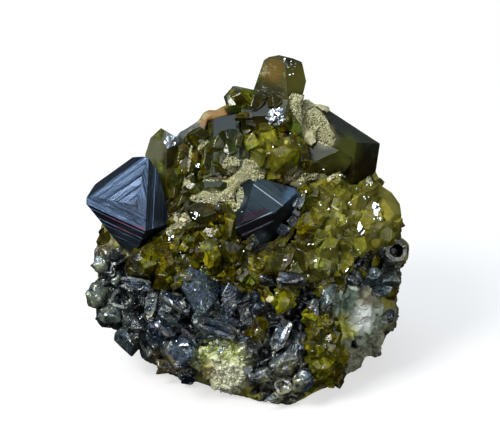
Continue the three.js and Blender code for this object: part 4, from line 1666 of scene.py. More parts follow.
@dataclass(frozen=True)
class FlakeField(Disc):
    """Flakes round a spot: their number, sizes and how far they lean from the same way."""

    count: int
    size: Range
    spread: float = 0.1


@dataclass
class Flakes:
    """Small flat flakes that lie all over the same way, so that they glint together."""

    name: str
    fields: tuple[FlakeField, ...]
    facing: Share
    slot: str
    thickness: float = 0.12
    seed: int = 61

    def build(self, surface: Surface, finish: Material) -> Piece:
        """Make the flakes on a surface with a finish, and return the piece."""
        source = random.Random(self.seed)
        patterns = [flake_pattern(source) for _ in range(6)]
        heap = Heap(source)
        facing = seen(*self.facing).normalized()
        for field in self.fields:
            for _ in range(field.count):
                found = surface.spot(*field.any_spot(source))
                if found is None:
                    continue
                size = MM * source.uniform(*field.size)
                out = (facing + field.spread * any_direction(source)).normalized()
                scale = Vector((size, size * source.uniform(0.4, 0.9), MM * self.thickness))
                pose = lying(found[0] + 0.1 * size * NEAR, out, source.uniform(0.0, 3.1), scale)
                heap.add(patterns, pose, source.random())
        return finished(heap.shape, self.name, finish)


@dataclass
class OpenTube:
    """The open tube of crust at the right."""

    mouth: Disc = TUBE
    wall: float = 0.65
    depth: float = 2.8
    out: float = 0.35

    def build(self, surface: Surface, finish: Material) -> Piece:
        """Make the tube on a surface with a finish, and return the piece."""
        shape = bmesh.new()
        radius = self.mouth.reach + self.wall
        bmesh.ops.create_cone(
            shape,
            cap_ends=False,
            segments=30,
            radius1=1.1 * radius,
            radius2=radius,
            depth=self.depth,
        )
        sides = [edge for edge in shape.edges if not edge.is_boundary]
        bmesh.ops.subdivide_edges(shape, edges=sides, cuts=4)
        dent(shape, Vector(), (0.25, 0.8))
        mark_rims(shape)
        thickened(shape, self.wall)
        middle = self.mouth.reach + 0.5 * self.wall
        # The bore is marked as a pit, so the finish darkens it as painted shade inside the tube
        pit = shape.verts.layers.float["pit"]
        for point in shape.verts:
            inside = math.hypot(point.co.x, point.co.y) < middle
            point[pit] = 0.9 if inside and point.co.z < 0.35 * self.depth else 0.0
        mark(shape, tone=0.3)
        bmesh.ops.transform(shape, matrix=self.pose(surface), verts=shape.verts)
        return finished(shape, "open_tube", finish)

    def pose(self, surface: Surface) -> Matrix:
        """Where the tube goes, with its mouth a little in front of the crust round it."""
        highest = -RAY_START
        round_it = Disc(self.mouth.across, self.mouth.up, self.mouth.reach + 0.3)
        for step in range(8):
            turn = step * ROUND / 8.0
            across = round_it.across + round_it.reach * math.cos(turn)
            found = surface.spot(across, round_it.up + round_it.reach * math.sin(turn))
            if found is not None:
                highest = max(highest, sight_of(found[0]).z)
        spot = place(self.mouth.across, self.mouth.up, highest + self.out - 0.5 * self.depth)
        return Matrix.Translation(spot) @ FACING_NEAR @ Matrix.Scale(MM, 4)


@dataclass(frozen=True)
class Striae:
    """Growth steps across one face: where it faces, the way they run, their spacing and height."""

    facing: Share
    along: Share
    spacing: Range
    height: float
    seed: int = 1
    sector: Optional[tuple[Spot, Spot, Spot]] = None


@dataclass
class Octahedron:
    """A magnetite crystal with stepped faces."""

    node: str
    striae: tuple[Striae, ...]
    wear: float = 0.09
    riser: float = 0.05

    def build(self, finish: MagnetiteFinish) -> Piece:
        """Make the crystal with a finish, and return the piece."""
        shape = merged_copy(self.node)
        wear_off(shape, shape.edges[:], self.wear * MM)
        shape.verts.layers.float.new("tone")
        shape.loops.layers.uv.new("striae")
        shape.normal_update()
        for face in shape.faces:
            self.draw(face, face.edges[0].verts[1].co - face.edges[0].verts[0].co, shape)
        for striae in self.striae:
            self.step_face(shape, striae)
        return finished(shape, self.node, finish.material(), (self.node,))

    def draw(self, face: Face, along: Vector, shape: Shape) -> None:
        """Lay the pattern of fine lines along a direction in a face, in millimetres."""
        layer = shape.loops.layers.uv["striae"]
        way = along.normalized()
        side = face.normal.cross(way).normalized()
        for corner in face.loops:
            spot = corner.vert.co / MM
            corner[layer].uv = (spot.dot(way), spot.dot(side))

    def step_face(self, shape: Shape, striae: Striae) -> None:
        """Cut one face into strips and raise, sink and tilt them."""
        source = random.Random(striae.seed)
        facing = seen(*striae.facing).normalized()
        faces = [face for face in shape.faces if face.normal.dot(facing) > 0.985]
        if not faces:
            log.warning("%s has no face towards %s", self.node, striae.facing)
            return
        best = max(faces, key=lambda face: face.calc_area())
        normal = best.normal.copy()
        strips = self.in_sector(shape, faces, striae.sector) if striae.sector else [best]
        along = seen(*striae.along)
        along = (along - along.dot(normal) * normal).normalized()
        across = normal.cross(along).normalized()
        spots = [point.co.dot(across) for face in strips for point in face.verts]
        cuts = [min(spots) + MM * source.uniform(*striae.spacing)]
        while cuts[-1] < max(spots):
            cuts.append(cuts[-1] + MM * source.uniform(*striae.spacing))
        for cut in cuts:
            for spot in (cut, cut + MM * self.riser):
                strips = self.split(shape, strips, across * spot, across)
        lows = [MM * source.uniform(-striae.height, striae.height) for _ in range(len(cuts) + 1)]
        highs = [low + MM * source.uniform(-striae.height, striae.height) for low in lows]
        tones = [source.random() for _ in lows]
        tone = shape.verts.layers.float["tone"]
        ends = [min(spots)] + [cut + MM * self.riser for cut in cuts]
        for face in strips:
            self.draw(face, along, shape)
        for point in {corner for face in strips for corner in face.verts}:
            spot = point.co.dot(across)
            step = sum(1 for cut in cuts if spot > cut + 0.5 * MM * self.riser)
            top = cuts[step] if step < len(cuts) else max(spots)
            share = (spot - ends[step]) / max(top - ends[step], 1e-9)
            share = min(1.0, max(0.0, share))
            point.co += normal * (lows[step] * (1.0 - share) + highs[step] * share)
            point[tone] = tones[step]

    def in_sector(self, shape: Shape, faces: list[Face], sector: tuple[Spot, Spot, Spot]) -> list[Face]:
        """Cut faces along the borders of a growth sector.

        Args:
            shape: the crystal.
            faces: the faces.
            sector: the point of the sector, and a spot on either border.

        Returns:
            The faces inside the sector.
        """
        middle, first, last = (Vector((*spot, 0.0)) for spot in sector)
        for border in (first - middle, last - middle):
            side = seen(border.y, -border.x).normalized()
            faces = self.split(shape, faces, place(middle.x, middle.y), side)
        turn = (first - middle).cross(last - middle).z
        inside = []
        for face in faces:
            spot = sight_of(face.calc_center_median())
            run = Vector((spot.x, spot.y, 0.0)) - middle
            after = (first - middle).cross(run).z * turn > 0.0
            if after and run.cross(last - middle).z * turn > 0.0:
                inside.append(face)
        return inside

    def split(self, shape: Shape, strips: list[Face], spot: Vector, across: Vector) -> list[Face]:
        """Cut some faces by a plane, and return all the faces that they became."""
        edges = {edge for face in strips for edge in face.edges}
        points = {point for face in strips for point in face.verts}
        made = bmesh.ops.bisect_plane(
            shape,
            geom=strips + list(edges) + list(points),
            plane_co=spot,
            plane_no=across,
        )
        kept = {face for face in made["geom"] if isinstance(face, Face)}
        kept.update(face for face in strips if face.is_valid)
        return list(kept)


@dataclass
class Studio:
    """Camera, floor, lights and surroundings of the picture."""

    lens: float = 300.0
    sensor: float = 36.0
    field: float = 80.0
    aim: Spot = (0.32, 29.12)
    floor_size: float = 3.0
    floor_grey: Colour = (0.45, 0.45, 0.45)
    floor_glow: float = 0.62
    lit: Share = (0.0, 27.0, -5.0)
    glow: float = 0.3
    sky: Stops = ((0.0, (0.03, 0.03, 0.035)), (0.45, (0.12, 0.13, 0.15)), (1.0, (0.75, 0.82, 0.92)))

    def build(self) -> None:
        """Make them all."""
        self.make_camera()
        self.make_floor()
        self.make_world()
        self.make_light("sky", (-0.35, 0.85, 0.35), 0.8, 0.9, 4.0, (0.74, 0.87, 1.0))
        self.make_light("key", KEY_WAY, 0.65, 0.24, 3.6, (1.0, 0.97, 0.92))
        self.make_light("right", (0.89, 0.05, 0.45), 0.7, 0.3, 0.9, (1.0, 0.96, 0.9))
        self.make_light("front", (0.35, -0.15, 1.0), 0.95, 0.5, 1.5, (1.0, 0.98, 0.94))

    def make_camera(self) -> None:
        """Camera that looks square onto the show face."""
        lens = bpy.data.cameras.new("camera")
        lens.lens = self.lens
        lens.sensor_fit = "HORIZONTAL"
        lens.sensor_width = self.sensor
        lens.clip_start = 0.05
        camera = placed("camera", lens)
        spot = place(self.aim[0], self.aim[1], self.field * self.lens / self.sensor)
        camera.matrix_world = Matrix.Translation(spot) @ FACING_NEAR
        bpy.context.scene.camera = camera

    def make_floor(self) -> None:
        """Plain pale floor."""
        shape = bmesh.new()
        bmesh.ops.create_grid(shape, x_segments=1, y_segments=1, size=self.floor_size)
        mesh = kept_mesh(shape, "floor")
        paint = Paint("floor")
        glow = {"emission_color": (1.0, 1.0, 1.0), "emission_strength": self.floor_glow}
        paint.surface(base_color=self.floor_grey, roughness=0.5, **glow)
        mesh.materials.append(paint.material)
        floor = placed("floor", mesh)
        floor.visible_diffuse = False
        floor.visible_glossy = False
        floor.visible_transmission = False

    def make_world(self) -> None:
        """Pale surroundings, brighter above than below."""
        world = bpy.data.worlds.new("studio")
        bpy.context.scene.world = world
        nodes = Nodes(world)
        source = nodes.node("ShaderNodeTexCoord").outputs["Generated"]
        height = nodes.node("ShaderNodeSeparateXYZ", {}, {0: source}).outputs["Z"]
        share = nodes.node("ShaderNodeMapRange", {}, {"Value": height, "From Min": -1.0}).outputs[0]
        shade = nodes.node("ShaderNodeValToRGB", {"stops": self.sky}, {0: share}).outputs[0]
        light = nodes.node("ShaderNodeBackground", {}, {"Color": shade, "Strength": self.glow})
        nodes.node("ShaderNodeOutputWorld", {}, {0: light.outputs[0]})
        bpy.context.scene.view_settings.view_transform = "Standard"

    def make_light(
        self, name: str, way: Share, away: float, size: float, power: float, colour: Colour
    ) -> None:
        """Soft square light.

        Args:
            name: its name.
            way: where it stands as seen, in shares across, up and towards the viewer.
            away: how far from the specimen it stands, in metres.
            size: its side, in metres.
            power: its power in watts.
            colour: its colour.
        """
        lamp = bpy.data.lights.new(name, "AREA")
        lamp.shape = "SQUARE"
        lamp.size = size
        lamp.energy = power
        lamp.color = colour
        light = placed(name, lamp)
        outward = seen(*way).normalized()
        middle = place(*self.lit)
        turn = outward.to_track_quat("Z", "Y").to_matrix().to_4x4()
        light.matrix_world = Matrix.Translation(middle + away * outward) @ turn


# Where the sectors of the large octahedron's front face meet, and where their borders end
HOPPER, LEFT_END, TOP_END, LOW_END = (-17.9, 32.1), (-26.6, 33.9), (-15.8, 41), (-13.4, 27.2)
SECTORS = (
    ((-0.814, -0.581, -0.15), 3, (HOPPER, LEFT_END, TOP_END)),
    ((0.23, -1, 0.56), 8, (HOPPER, TOP_END, LOW_END)),
    ((1, -0.52, 0.73), 9, (HOPPER, LOW_END, LEFT_END)),
)
LARGE_STRIAE = (
    *(Striae((-0.419, 0.369, 0.833), along, (0.25, 0.7), 0.07, *rest) for along, *rest in SECTORS),
    Striae((0.715, 0.248, 0.651), (0.054, 1.3, -0.551), (0.3, 0.8), 0.06, seed=4),
    Striae((-0.598, -0.69, 0.409), (-1.083, 0.488, -0.76), (0.4, 1.1), 0.07, seed=5),
)
MIDDLE_STRIAE = (
    Striae((-0.077, 0.579, 0.811), (1.032, -0.74, 0.625), (0.9, 2.4), 0.05, seed=6),
    Striae((0.249, -0.529, 0.811), (0.91, 0.416, -0.008), (0.35, 1.3), 0.07, seed=7),
)

DRUSE_DISCS = (
    Disc(-10, 26, 6.5), Disc(-4, 29, 5), Disc(-12, 29.5, 3), Disc(2, 22.5, 5), Disc(10, 23, 6),
    Disc(16, 28, 7.5), Disc(20, 31, 5.5), Disc(11, 31, 4.5), Disc(22.5, 27.5, 3), Disc(-6, 22.5, 5),
    Disc(12.8, 20, 4), Disc(-2, 19.4, 2.2), Disc(-24, 27.8, 1.8),
)
UPPER_DISCS = (Disc(3, 40.5, 4), Disc(10, 38.2, 4.5), Disc(14.5, 37, 3), Disc(6.5, 43, 2.2))
COLUMN_DISCS = (Disc(12, 12.5, 2.6), Disc(12.5, 7.5, 3), Disc(12.2, 4.2, 2.6))
POCKET_DISCS = (Disc(6, 17.5, 2),)
GRANULAR_DISCS = (Disc(-4.5, 7, 3.8), Disc(-3, 4.5, 2.8))

DRUSE_GEMS = (
    Gem(-6.9, 31, 1.2, 3.8, 5.4, 0.25), Gem(-9.1, 32, 0.3, 2.4, 3.4, 0.35),
    Gem(-2.9, 28.8, -0.1, 2.7, 5.8, 0.5), Gem(-5.3, 27.8, 0.6, 3.2, 3, 0.65),
    Gem(-14.4, 25, 0.7, 3.6, 6.4, 0.6), Gem(-15.5, 22.2, 1.3, 3, 3.6, 0.95),
    Gem(-11.2, 25.4, 0.05, 1.9, 4.8, 0.55), Gem(-9, 22.7, 0.2, 1.9, 2.1, 0.9),
    Gem(-5.6, 24.6, -0.3, 3, 4.4, 0.7), Gem(-8.2, 26.6, 0.5, 2.8, 4.2, 0.55),
    Gem(-12.8, 23, -0.2, 2.4, 3.4, 0.8), Gem(-2.4, 25, 0.2, 2.6, 3.6, 0.4),
    Gem(-4.2, 21.4, 1, 2.4, 3, 0.8), Gem(-6.9, 21.4, 0.4, 2.2, 2.8, 0.6),
    Gem(-0.5, 22.1, -0.5, 2.2, 2.8, 0.6), Gem(-10.9, 29.4, 0.9, 2.8, 4.2, 0.45),
    Gem(4.6, 22.9, 0.3, 4, 4.8, 0.45), Gem(8.6, 23.4, -0.2, 3.8, 5.6, 0.5),
    Gem(22.4, 31.8, -0.6, 4.2, 6.6, 0.8), Gem(2.2, 23, -0.3, 2.4, 3.8, 0.6),
    Gem(12.3, 25, 0.4, 3, 4, 0.6), Gem(15.5, 23, -0.6, 2.8, 3.6, 0.7), Gem(9.6, 29, 0.6, 3, 4, 0.7),
    Gem(13.1, 29, -0.3, 2.8, 4, 0.55), Gem(17.1, 32.2, 0.2, 3, 4.4, 0.6),
    Gem(17.9, 25.8, -0.7, 2.8, 3.4, 0.75), Gem(21.9, 27.4, 0.3, 3, 3.6, 0.8),
    Gem(9.9, 33, 1.2, 2.6, 3.8, 0.6), Gem(14.7, 33.8, 0.9, 2.6, 3.6, 0.5),
    Gem(23.4, 18.4, 0.2, 2, 3, 0.7), Gem(-5.4, 35.2, 1.5, 2.2, 5, 0.05), Gem(-8.7, 34.8, 1.1, 2, 3, 0.2),
    Gem(-10.7, 32.7, 0.2, 2.4, 3.4, 0.4), Gem(-11.6, 31.4, 0.8, 2.2, 3, 0.5),
    Gem(-9.9, 33.9, 1.2, 1.6, 2.4, 0.3), Gem(-23, 26.6, 0.5, 2.4, 3, 0.4),
    Gem(-18.2, 21.4, 1, 2.4, 3.2, 0.55),
)
UPPER_GEMS = (
    Gem(-9.8, 42.6, 0.3, 1.2, 2, 0.5), Gem(-7.8, 43.4, 0.6, 2.8, 3.2, 0.3),
    Gem(-7.8, 36.2, 0, 1.8, 2.6, 0.95), Gem(-9.9, 38.6, -0.1, 1.8, 3.4, 0.4),
    Gem(0.6, 42.2, 0.5, 3, 3.6, 0.95), Gem(3.5, 42.9, 0.9, 3, 3.2, 0.9), Gem(5.3, 39.4, 0.5, 4.4, 5, 0.7),
    Gem(1.6, 39.4, -0.3, 2.4, 3.4, 0.85), Gem(7.7, 44.5, 0.2, 1.4, 2.6, 0.95),
    Gem(8.3, 39.7, -0.4, 3.4, 4.6, 0.2), Gem(16, 40, 1.1, 2.4, 3.4, 0.6),
    Gem(12.3, 37.8, 1.3, 3, 6, 0.45), Gem(16.6, 37.4, 0.2, 2.8, 4, 0.35), Gem(9.6, 36.5, 1.2, 2, 4, 0.6),
    Gem(4.3, 37, 1, 2.2, 3.4, 0.6),
)
TOP_GEMS = (
    Gem(-1.4, 42.4, 0.3, 1.6, 3, 0.2), Gem(-7, 40.9, 0.1, 2.2, 3.2, 0.9), Gem(-9.4, 37.8, 0.2, 2, 3, 0.6),
    Gem(-10.2, 41.4, 0.2, 1.8, 2.4, 0.5), Gem(-7.4, 37.4, 0, 1.8, 2.6, 0.7),
    Gem(-10.9, 39.6, 0.1, 1.8, 4.6, 0.35), Gem(-8.4, 39.4, 0.1, 2, 3.6, 0.75),
    Gem(-11.6, 36.4, 0, 2.2, 3.2, 0.45), Gem(-1.2, 49.4, 1.3, 3.4, 3, 0.6),
    Gem(0.7, 44.9, 1.9, 1.8, 2.6, 0.15), Gem(2.9, 44.5, 1.5, 1.8, 3, 0.45),
    Gem(5.6, 44.9, 0.2, 1.6, 2.8, 0.3), Gem(-0.6, 46.4, 1.4, 1.2, 3.2, 0.2),
    Gem(-6.4, 39, 0.1, 2, 4.2, 0.3), Gem(1.4, 48.4, 0.15, 2.6, 3.4, 0.2),
    Gem(4.3, 48.6, -0.1, 2.4, 3, 0.25), Gem(7.6, 48.4, 0.3, 2.4, 3.6, 0.5),
    Gem(-4.7, 42, 0.35, 2.6, 4.4, 0.2), Gem(-2.9, 41, -0.2, 2.4, 4.2, 0.3),
    Gem(-4.1, 39.4, 0.1, 2.8, 3.6, 0.25),
)
COLUMN_GEMS = (
    Gem(11, 13.4, 0.2, 2.2, 3, 0.9), Gem(12.8, 9.8, -0.2, 2.4, 3.2, 0.8),
    Gem(11.8, 6.6, 0.5, 2.6, 3, 0.7), Gem(13.9, 5, -0.6, 2.2, 3, 0.7),
)
POCKET_GEMS = (
    Gem(5.8, 17.4, 0.2, 2.2, 3.4, 0.95), Gem(5.3, 16.2, -0.4, 2, 2.4, 0.9),
    Gem(1.4, 12.5, 0.3, 3, 4, 0.45),
)

LEVEL, UPWARD = math.radians(86), 0.1
DRIFTS = (
    Drift(-0.8, 37.8, 2.6, 1.7, LEVEL), Drift(-2.9, 38.9, 1.3, 0.9, 0.9), Drift(1.3, 37, 1.4, 1, LEVEL),
    Drift(-4.8, 36.3, 2.6, 0.35, LEVEL, 0.3), Drift(-5.8, 33.4, 3.4, 0.9, LEVEL),
    Drift(-1.6, 33, 2, 0.8, 0.3), Drift(-2, 35.8, 1.8, 1, 0.7), Drift(10, 46.2, 4.8, 1.9, 2.42, 0.8),
    Drift(12.2, 43.4, 2.2, 1.4, 2.4), Drift(8.9, 36.6, 3.2, 0.6, LEVEL, 0.5),
    Drift(14.1, 36.8, 1.1, 0.35, LEVEL, 0.3), Drift(-9.3, 39.4, 2.4, 0.25, UPWARD, 0.25),
    Drift(-7.2, 41.8, 1.2, 0.3, 0.8, 0.25), Drift(-9.6, 36.5, 1.2, 0.3, 0.9, 0.25),
    Drift(10, 46.6, 4.2, 1.7, 2.42, 0.6), Drift(-11.4, 28.9, 1.7, 0.5, 1, 0.5),
    Drift(-9.8, 30.1, 1, 0.5, 2.3, 0.4),
)

SHELLS = (
    Shell(CHIP, -7.6, 17.9, 0.3, 4.4, 5.4, 4.2, 0.56, (-0.1, 0.3)),
    Shell(CUP, -10.8, 19, 1.2, 2.8, 3, 2.4, 0.15, (0.2, 0.2)),
    Shell(PLATE, -11.6, 16.3, 2.21, 1.8, 5.2, 2.6, 0.42, (0.3, 0.7)),
    Shell(PLATE, -10.7, 12.9, 2.27, 1.8, 6, 2.6, 0.2, (0.2, 0.1)),
    Shell(PLATE, -15.4, 16.2, 0.25, 1.4, 3.8, 2.2, 0.74, (-0.7, 0.2)),
    Shell(PLATE, -14.1, 16.6, 0.35, 1.3, 3.4, 2.2, 0.45, (-0.5, 0.1)),
    Shell(PLATE, -17.6, 19.6, 1.75, 1.7, 4.6, 1.8, 0.38, (-0.2, -0.1)),
    Shell(CUP, -20.2, 17.2, 0.6, 3.4, 3.6, 2.8, 0.62, (-0.3, 0.3)),
    Shell(LUMP, -21.8, 14.4, 1, 2.6, 2.8, 2.4, 0.85),
    Shell(CUP, -15.9, 9.9, 1.2, 3.8, 3, 2.4, 0.68, (0, 0.4)),
    Shell(CHIP, -10.3, 9.6, 0.9, 3.8, 4.6, 3.4, 0.45, (0.1, 0.5)),
    Shell(LUMP, -24.4, 17.9, 0.4, 3.2, 4, 3, 0.92), Shell(LUMP, -23.7, 22.6, 0.5, 2.6, 2.4, 2.2, 1),
    Shell(CHIP, -19.4, 11.2, 2.3, 3.4, 4, 3, 0.46, (-0.3, 0.3)),
    Shell(LUMP, -13.8, 12.2, 2, 3.2, 4, 2.8, 0.26),
    Shell(PLATE, -4.4, 14.4, 2.04, 1.8, 5.6, 2.4, 0.48, (0.2, 0.5)),
    Shell(PLATE, -4.9, 12.6, 1.9, 1.8, 5.6, 2.2, 0.36, (0.2, 0.1)),
    Shell(CHIP, -3, 17, 0.6, 3, 3.6, 2.8, 0.3, (0.3, -0.1)), Shell(CURL, -13, 6.4, 1.5, 3, 4.2, 2.6, 0.3),
    Shell(CURL, 6.9, 20, 1.5, 3.8, 5, 5, 0.1, (0.1, 0.3)),
    Shell(CUP, 10.6, 19.4, 0.6, 3.4, 4, 4, 0.2, (0.1, 0.3)),
    Shell(LUMP, 3.3, 20.4, 1.4, 2.4, 3.4, 3.6, 0.16),
    Shell(CHIP, 1.3, 18.6, 0.3, 2.8, 3.6, 2.8, 0.24, (-0.2, 0.3)),
    Shell(CHIP, 13.6, 18.9, 0.4, 2.4, 3.2, 2.4, 0.6, (0.2, 0.2)),
    Shell(CURL, 10.4, 15.4, 0.1, 2.4, 4.4, 2.6, 0.4, (0.5, 0.1)),
    Shell(CURL, 12.6, 17.5, -0.2, 3.2, 4.2, 3, 0.8, (-0.2, 0.2)),
    Shell(LUMP, 19.2, 20.6, 1.4, 3, 4.2, 2.8, 0.78),
    Shell(CURL, 22.3, 20, 1.2, 3.4, 4, 3, 0.7, (0.3, 0.2)),
    Shell(PLATE, 20.8, 18.6, 1.6, 1.8, 4, 1.8, 0.66, (0.1, 0.6)),
    Shell(LUMP, 22.6, 14.3, 0, 2.2, 2.2, 2, 0.05),
    Shell(PLATE, 5.2, 11.6, 0.5, 2.2, 4.6, 2.2, 0.44, (-0.5, 0.3)),
    Shell(PLATE, 7.6, 9.4, 0.3, 2.2, 5.2, 2.2, 0.8, (0.4, 0.2)),
    Shell(CURL, 5.4, 7.2, 0.9, 3.2, 4.4, 3, 0.46, (0.2, 0.2)), Shell(CURL, 1.6, 5, 1.3, 3, 4, 2.6, 0.34),
    Shell(LUMP, 8.8, 4, 0.8, 3.2, 3.6, 2.8, 0.52),
    Shell(CUP, 5.4, 3.2, 0.2, 2.8, 2.8, 2, 0.6, (0.1, 0.3)),
    Shell(PLATE, 7.9, 32.9, 0.5, 1.6, 2.6, 1.6, 0.45, (0.4, 0.2)),
    Shell(CHIP, 8, 31.2, 0.1, 1.8, 2.6, 1.6, 0.78, (0.5, 0.1)),
    Shell(STACK, 7.2, 29.4, 0.8, 2, 2.2, 1.6, 0.45, (0.4, 0)),
    Shell(CHIP, 5.6, 27.8, 0.4, 2.2, 1.8, 1.4, 0.3, (0.2, -0.1)),
)

GLINTS = (
    FlakeField(20.2, 31.8, 0.8, 5, (0.8, 1.5)), FlakeField(18.1, 28.3, 0.8, 5, (0.8, 1.5)),
    FlakeField(18.9, 33.3, 0.4, 3, (0.3, 0.6)), FlakeField(21.1, 30.1, 0.5, 3, (0.3, 0.6)),
    FlakeField(13.1, 31.5, 0.3, 2, (0.2, 0.5)), FlakeField(13.6, 21.8, 0.3, 2, (0.3, 0.5)),
    FlakeField(15.7, 21.8, 0.3, 2, (0.3, 0.5)), FlakeField(10.7, 23.4, 0.3, 2, (0.2, 0.4)),
    FlakeField(5.9, 23.5, 0.3, 2, (0.2, 0.4)), FlakeField(-8.5, 30.7, 0.8, 8, (0.2, 0.45)),
    FlakeField(-12.4, 42.3, 0.9, 26, (0.3, 0.8), 0.4), FlakeField(-7.8, 38.4, 0.5, 4, (0.2, 0.5)),
    FlakeField(-12.2, 27, 0.5, 3, (0.3, 0.6)), FlakeField(4.5, 46.3, 1.3, 60, (0.35, 0.9), 0.5),
    FlakeField(6.7, 54.4, 1.5, 14, (0.25, 0.6), 0.4), FlakeField(-18, 14.2, 1.1, 16, (0.3, 0.8), 0.4),
    FlakeField(-4.8, 9.8, 1.3, 14, (0.3, 0.8), 0.4), FlakeField(15, 29, 8, 30, (0.15, 0.45), 0.2),
    FlakeField(-6, 27, 7, 18, (0.12, 0.36), 0.2), FlakeField(7, 40, 7, 12, (0.12, 0.3), 0.2),
    FlakeField(-13, 14, 9, 50, (0.12, 0.36), 0.4), FlakeField(5, 12, 8, 40, (0.12, 0.36), 0.4),
    FlakeField(-4, 6, 3.4, 26, (0.12, 0.34), 0.3), FlakeField(17.6, 15.2, 3, 16, (0.15, 0.5), 0.3),
)
BEIGE_PLATES = (
    FlakeField(-11, 29.3, 0.9, 4, (1, 1.9), 0.4), FlakeField(3.5, 17.4, 0.3, 2, (1.2, 1.8), 0.3),
)

# Olive crystal colours: their own olive, with painted shade at the dark end and a painted glow of light
# through them at the bright end
GLOW = ((0, (0.018, 0.015, 0.001)), (0.35, (0.066, 0.058, 0.001)), (0.62, (0.25, 0.23, 0.004)),
        (0.84, (0.6, 0.58, 0.016)), (1, (0.95, 0.94, 0.12)))
GREENISH = ((0, (0.01, 0.013, 0.006)), (0.35, (0.055, 0.065, 0.014)), (0.7, (0.22, 0.25, 0.04)),
            (1, (0.62, 0.68, 0.14)))
# Pale granular crystal colours, raised further as painted light because the patch faces down into shade
PALE_AND_FILL_LIGHT = ((0, (0.22, 0.25, 0.05)), (0.35, (0.44, 0.5, 0.17)), (0.7, (0.66, 0.74, 0.42)),
        (1, (0.88, 0.92, 0.66)))
GLASSY = ((0, (0.14, 0.17, 0.09)), (0.35, (0.38, 0.46, 0.36)), (0.7, (0.68, 0.77, 0.68)),
          (1, (0.96, 0.99, 0.95)))
DUSTY = (0.34, 0.32, 0.19)
BROWN = (0.02, 0.015, 0.005)
# The next two colours are painted glows inside crystals
ORANGE_GLOW = (0.55, 0.28, 0.03)
YELLOW_GLOW = (0.85, 0.85, 0.05)
PURPLE = (0.16, 0.05, 0.1)
SILVER = (0.34, 0.4, 0.46)

CLEAR_TINTS = (
    # Second tint of the next line: painted reflection of the sky on the top of the left crystal
    Tint(-14.9, 41, 2, (0.3, 0.31, 0.19)), Tint(-12, 43.2, 1.3, (0.45, 0.52, 0.58)),
    Tint(-11.5, 39.6, 2.2, (0.05, 0.042, 0.004), 0.9), Tint(-12.2, 34.9, 2.6, (0.14, 0.12, 0.01)),
    Tint(-9.8, 34.6, 0.8, (0.2, 0.45, 0.05)), Tint(-3.6, 45.1, 2.2, (0.018, 0.026, 0.03), 0.95),
    Tint(-3.4, 41.8, 2.7, (0.035, 0.05, 0.018), 0.9), Tint(-0.2, 45.3, 1.2, BROWN),
    Tint(-4, 34.9, 2.4, (0.03, 0.022, 0.006), 0.9), Tint(5.6, 52, 3.4, (0.2, 0.18, 0.04), 0.6),
    # Second tint of the next line: painted orange glow inside the summit crystal
    Tint(4, 53.7, 1.9, ORANGE_GLOW, 0.35), Tint(3.8, 49.7, 2, (0.03, 0.028, 0.008), 0.75),
    # Next line: the green of the lump below the summit, with a painted yellow glow at its middle
    Tint(-0.8, 49.1, 2.2, (0.16, 0.24, 0.02)), Tint(-0.5, 49.3, 1.3, YELLOW_GLOW, 0.25),
    Tint(8.3, 52.6, 2.2, (0.26, 0.25, 0.04), 0.9), Tint(1.6, 46.9, 2.6, (0.014, 0.012, 0.006), 0.9),
    Tint(2.2, 44.2, 2.2, (0.08, 0.07, 0.01)), Tint(6.2, 45, 0.8, BROWN),
    Tint(7.7, 44.5, 0.9, (0.3, 0.5, 0.05)), Tint(17.1, 43.8, 4, (0.045, 0.055, 0.04), 0.85),
    Tint(18.2, 38.1, 3, (0.03, 0.02, 0.006), 0.9), Tint(15.5, 40.8, 2.4, (0.22, 0.25, 0.03), 0.5),
    Tint(11.5, 39.7, 3, (0.075, 0.07, 0.008)), Tint(8.6, 48, 1.7, DUSTY, 0.95),
    Tint(10.4, 45.8, 1.8, DUSTY, 0.95), Tint(12.4, 43, 1.8, DUSTY, 0.95),
)
OLIVE_TINTS = (
    Tint(17.5, 29.5, 6.5, (0.62, 0.6, 0.1), 0.35), Tint(21.5, 31, 4, (0.7, 0.68, 0.16), 0.3),
    Tint(7, 24, 3.5, (0.035, 0.03, 0.004), 0.5), Tint(-8, 31, 2.6, (0.035, 0.032, 0.006), 0.6),
    Tint(1.8, 26.2, 1.5, (0.02, 0.03, 0.034), 0.9), Tint(5.6, 17, 2.4, (0.46, 0.52, 0.02), 0.4),
    Tint(-5.6, 35, 2.2, (0.03, 0.045, 0.008), 0.8), Tint(-3.8, 41, 2.8, (0.035, 0.055, 0.01), 0.7),
    Tint(12.4, 8.6, 4, (0.56, 0.58, 0.06), 0.15), Tint(-0.8, 37.8, 2.2, DUSTY, 0.95),
    Tint(-10, 32.2, 2.6, (0.03, 0.028, 0.006), 0.7), Tint(-10.4, 22.6, 2.4, (0.04, 0.034, 0.004), 0.5),
    # First tint of the next line: painted shadow under the large octahedron
    Tint(-18.6, 22.6, 1.8, (0.012, 0.011, 0.004), 0.8), Tint(-2.4, 26.6, 2.6, (0.024, 0.024, 0.006), 0.6),
    Tint(12.2, 22.8, 2.6, (0.58, 0.6, 0.14), 0.35), Tint(7.6, 36.6, 1.5, DUSTY, 0.9),
    Tint(-5.6, 33.7, 1.1, DUSTY, 0.9), Tint(-1.7, 34.2, 1.5, DUSTY, 0.9),
    Tint(3.6, 40.6, 3.4, (0.4, 0.4, 0.05), 0.3), Tint(11.6, 40, 2.2, (0.04, 0.036, 0.002), 0.8),
)
PALE_TINTS = (
    # First tint of the next line: painted light on the lower part of the granular patch, which lies in
    # shade
    Tint(-3.2, 4.4, 3.2, (1, 1, 0.8), 0.7), Tint(-6.6, 5.6, 1.3, (0.62, 0.5, 0.18), 0.6),
)
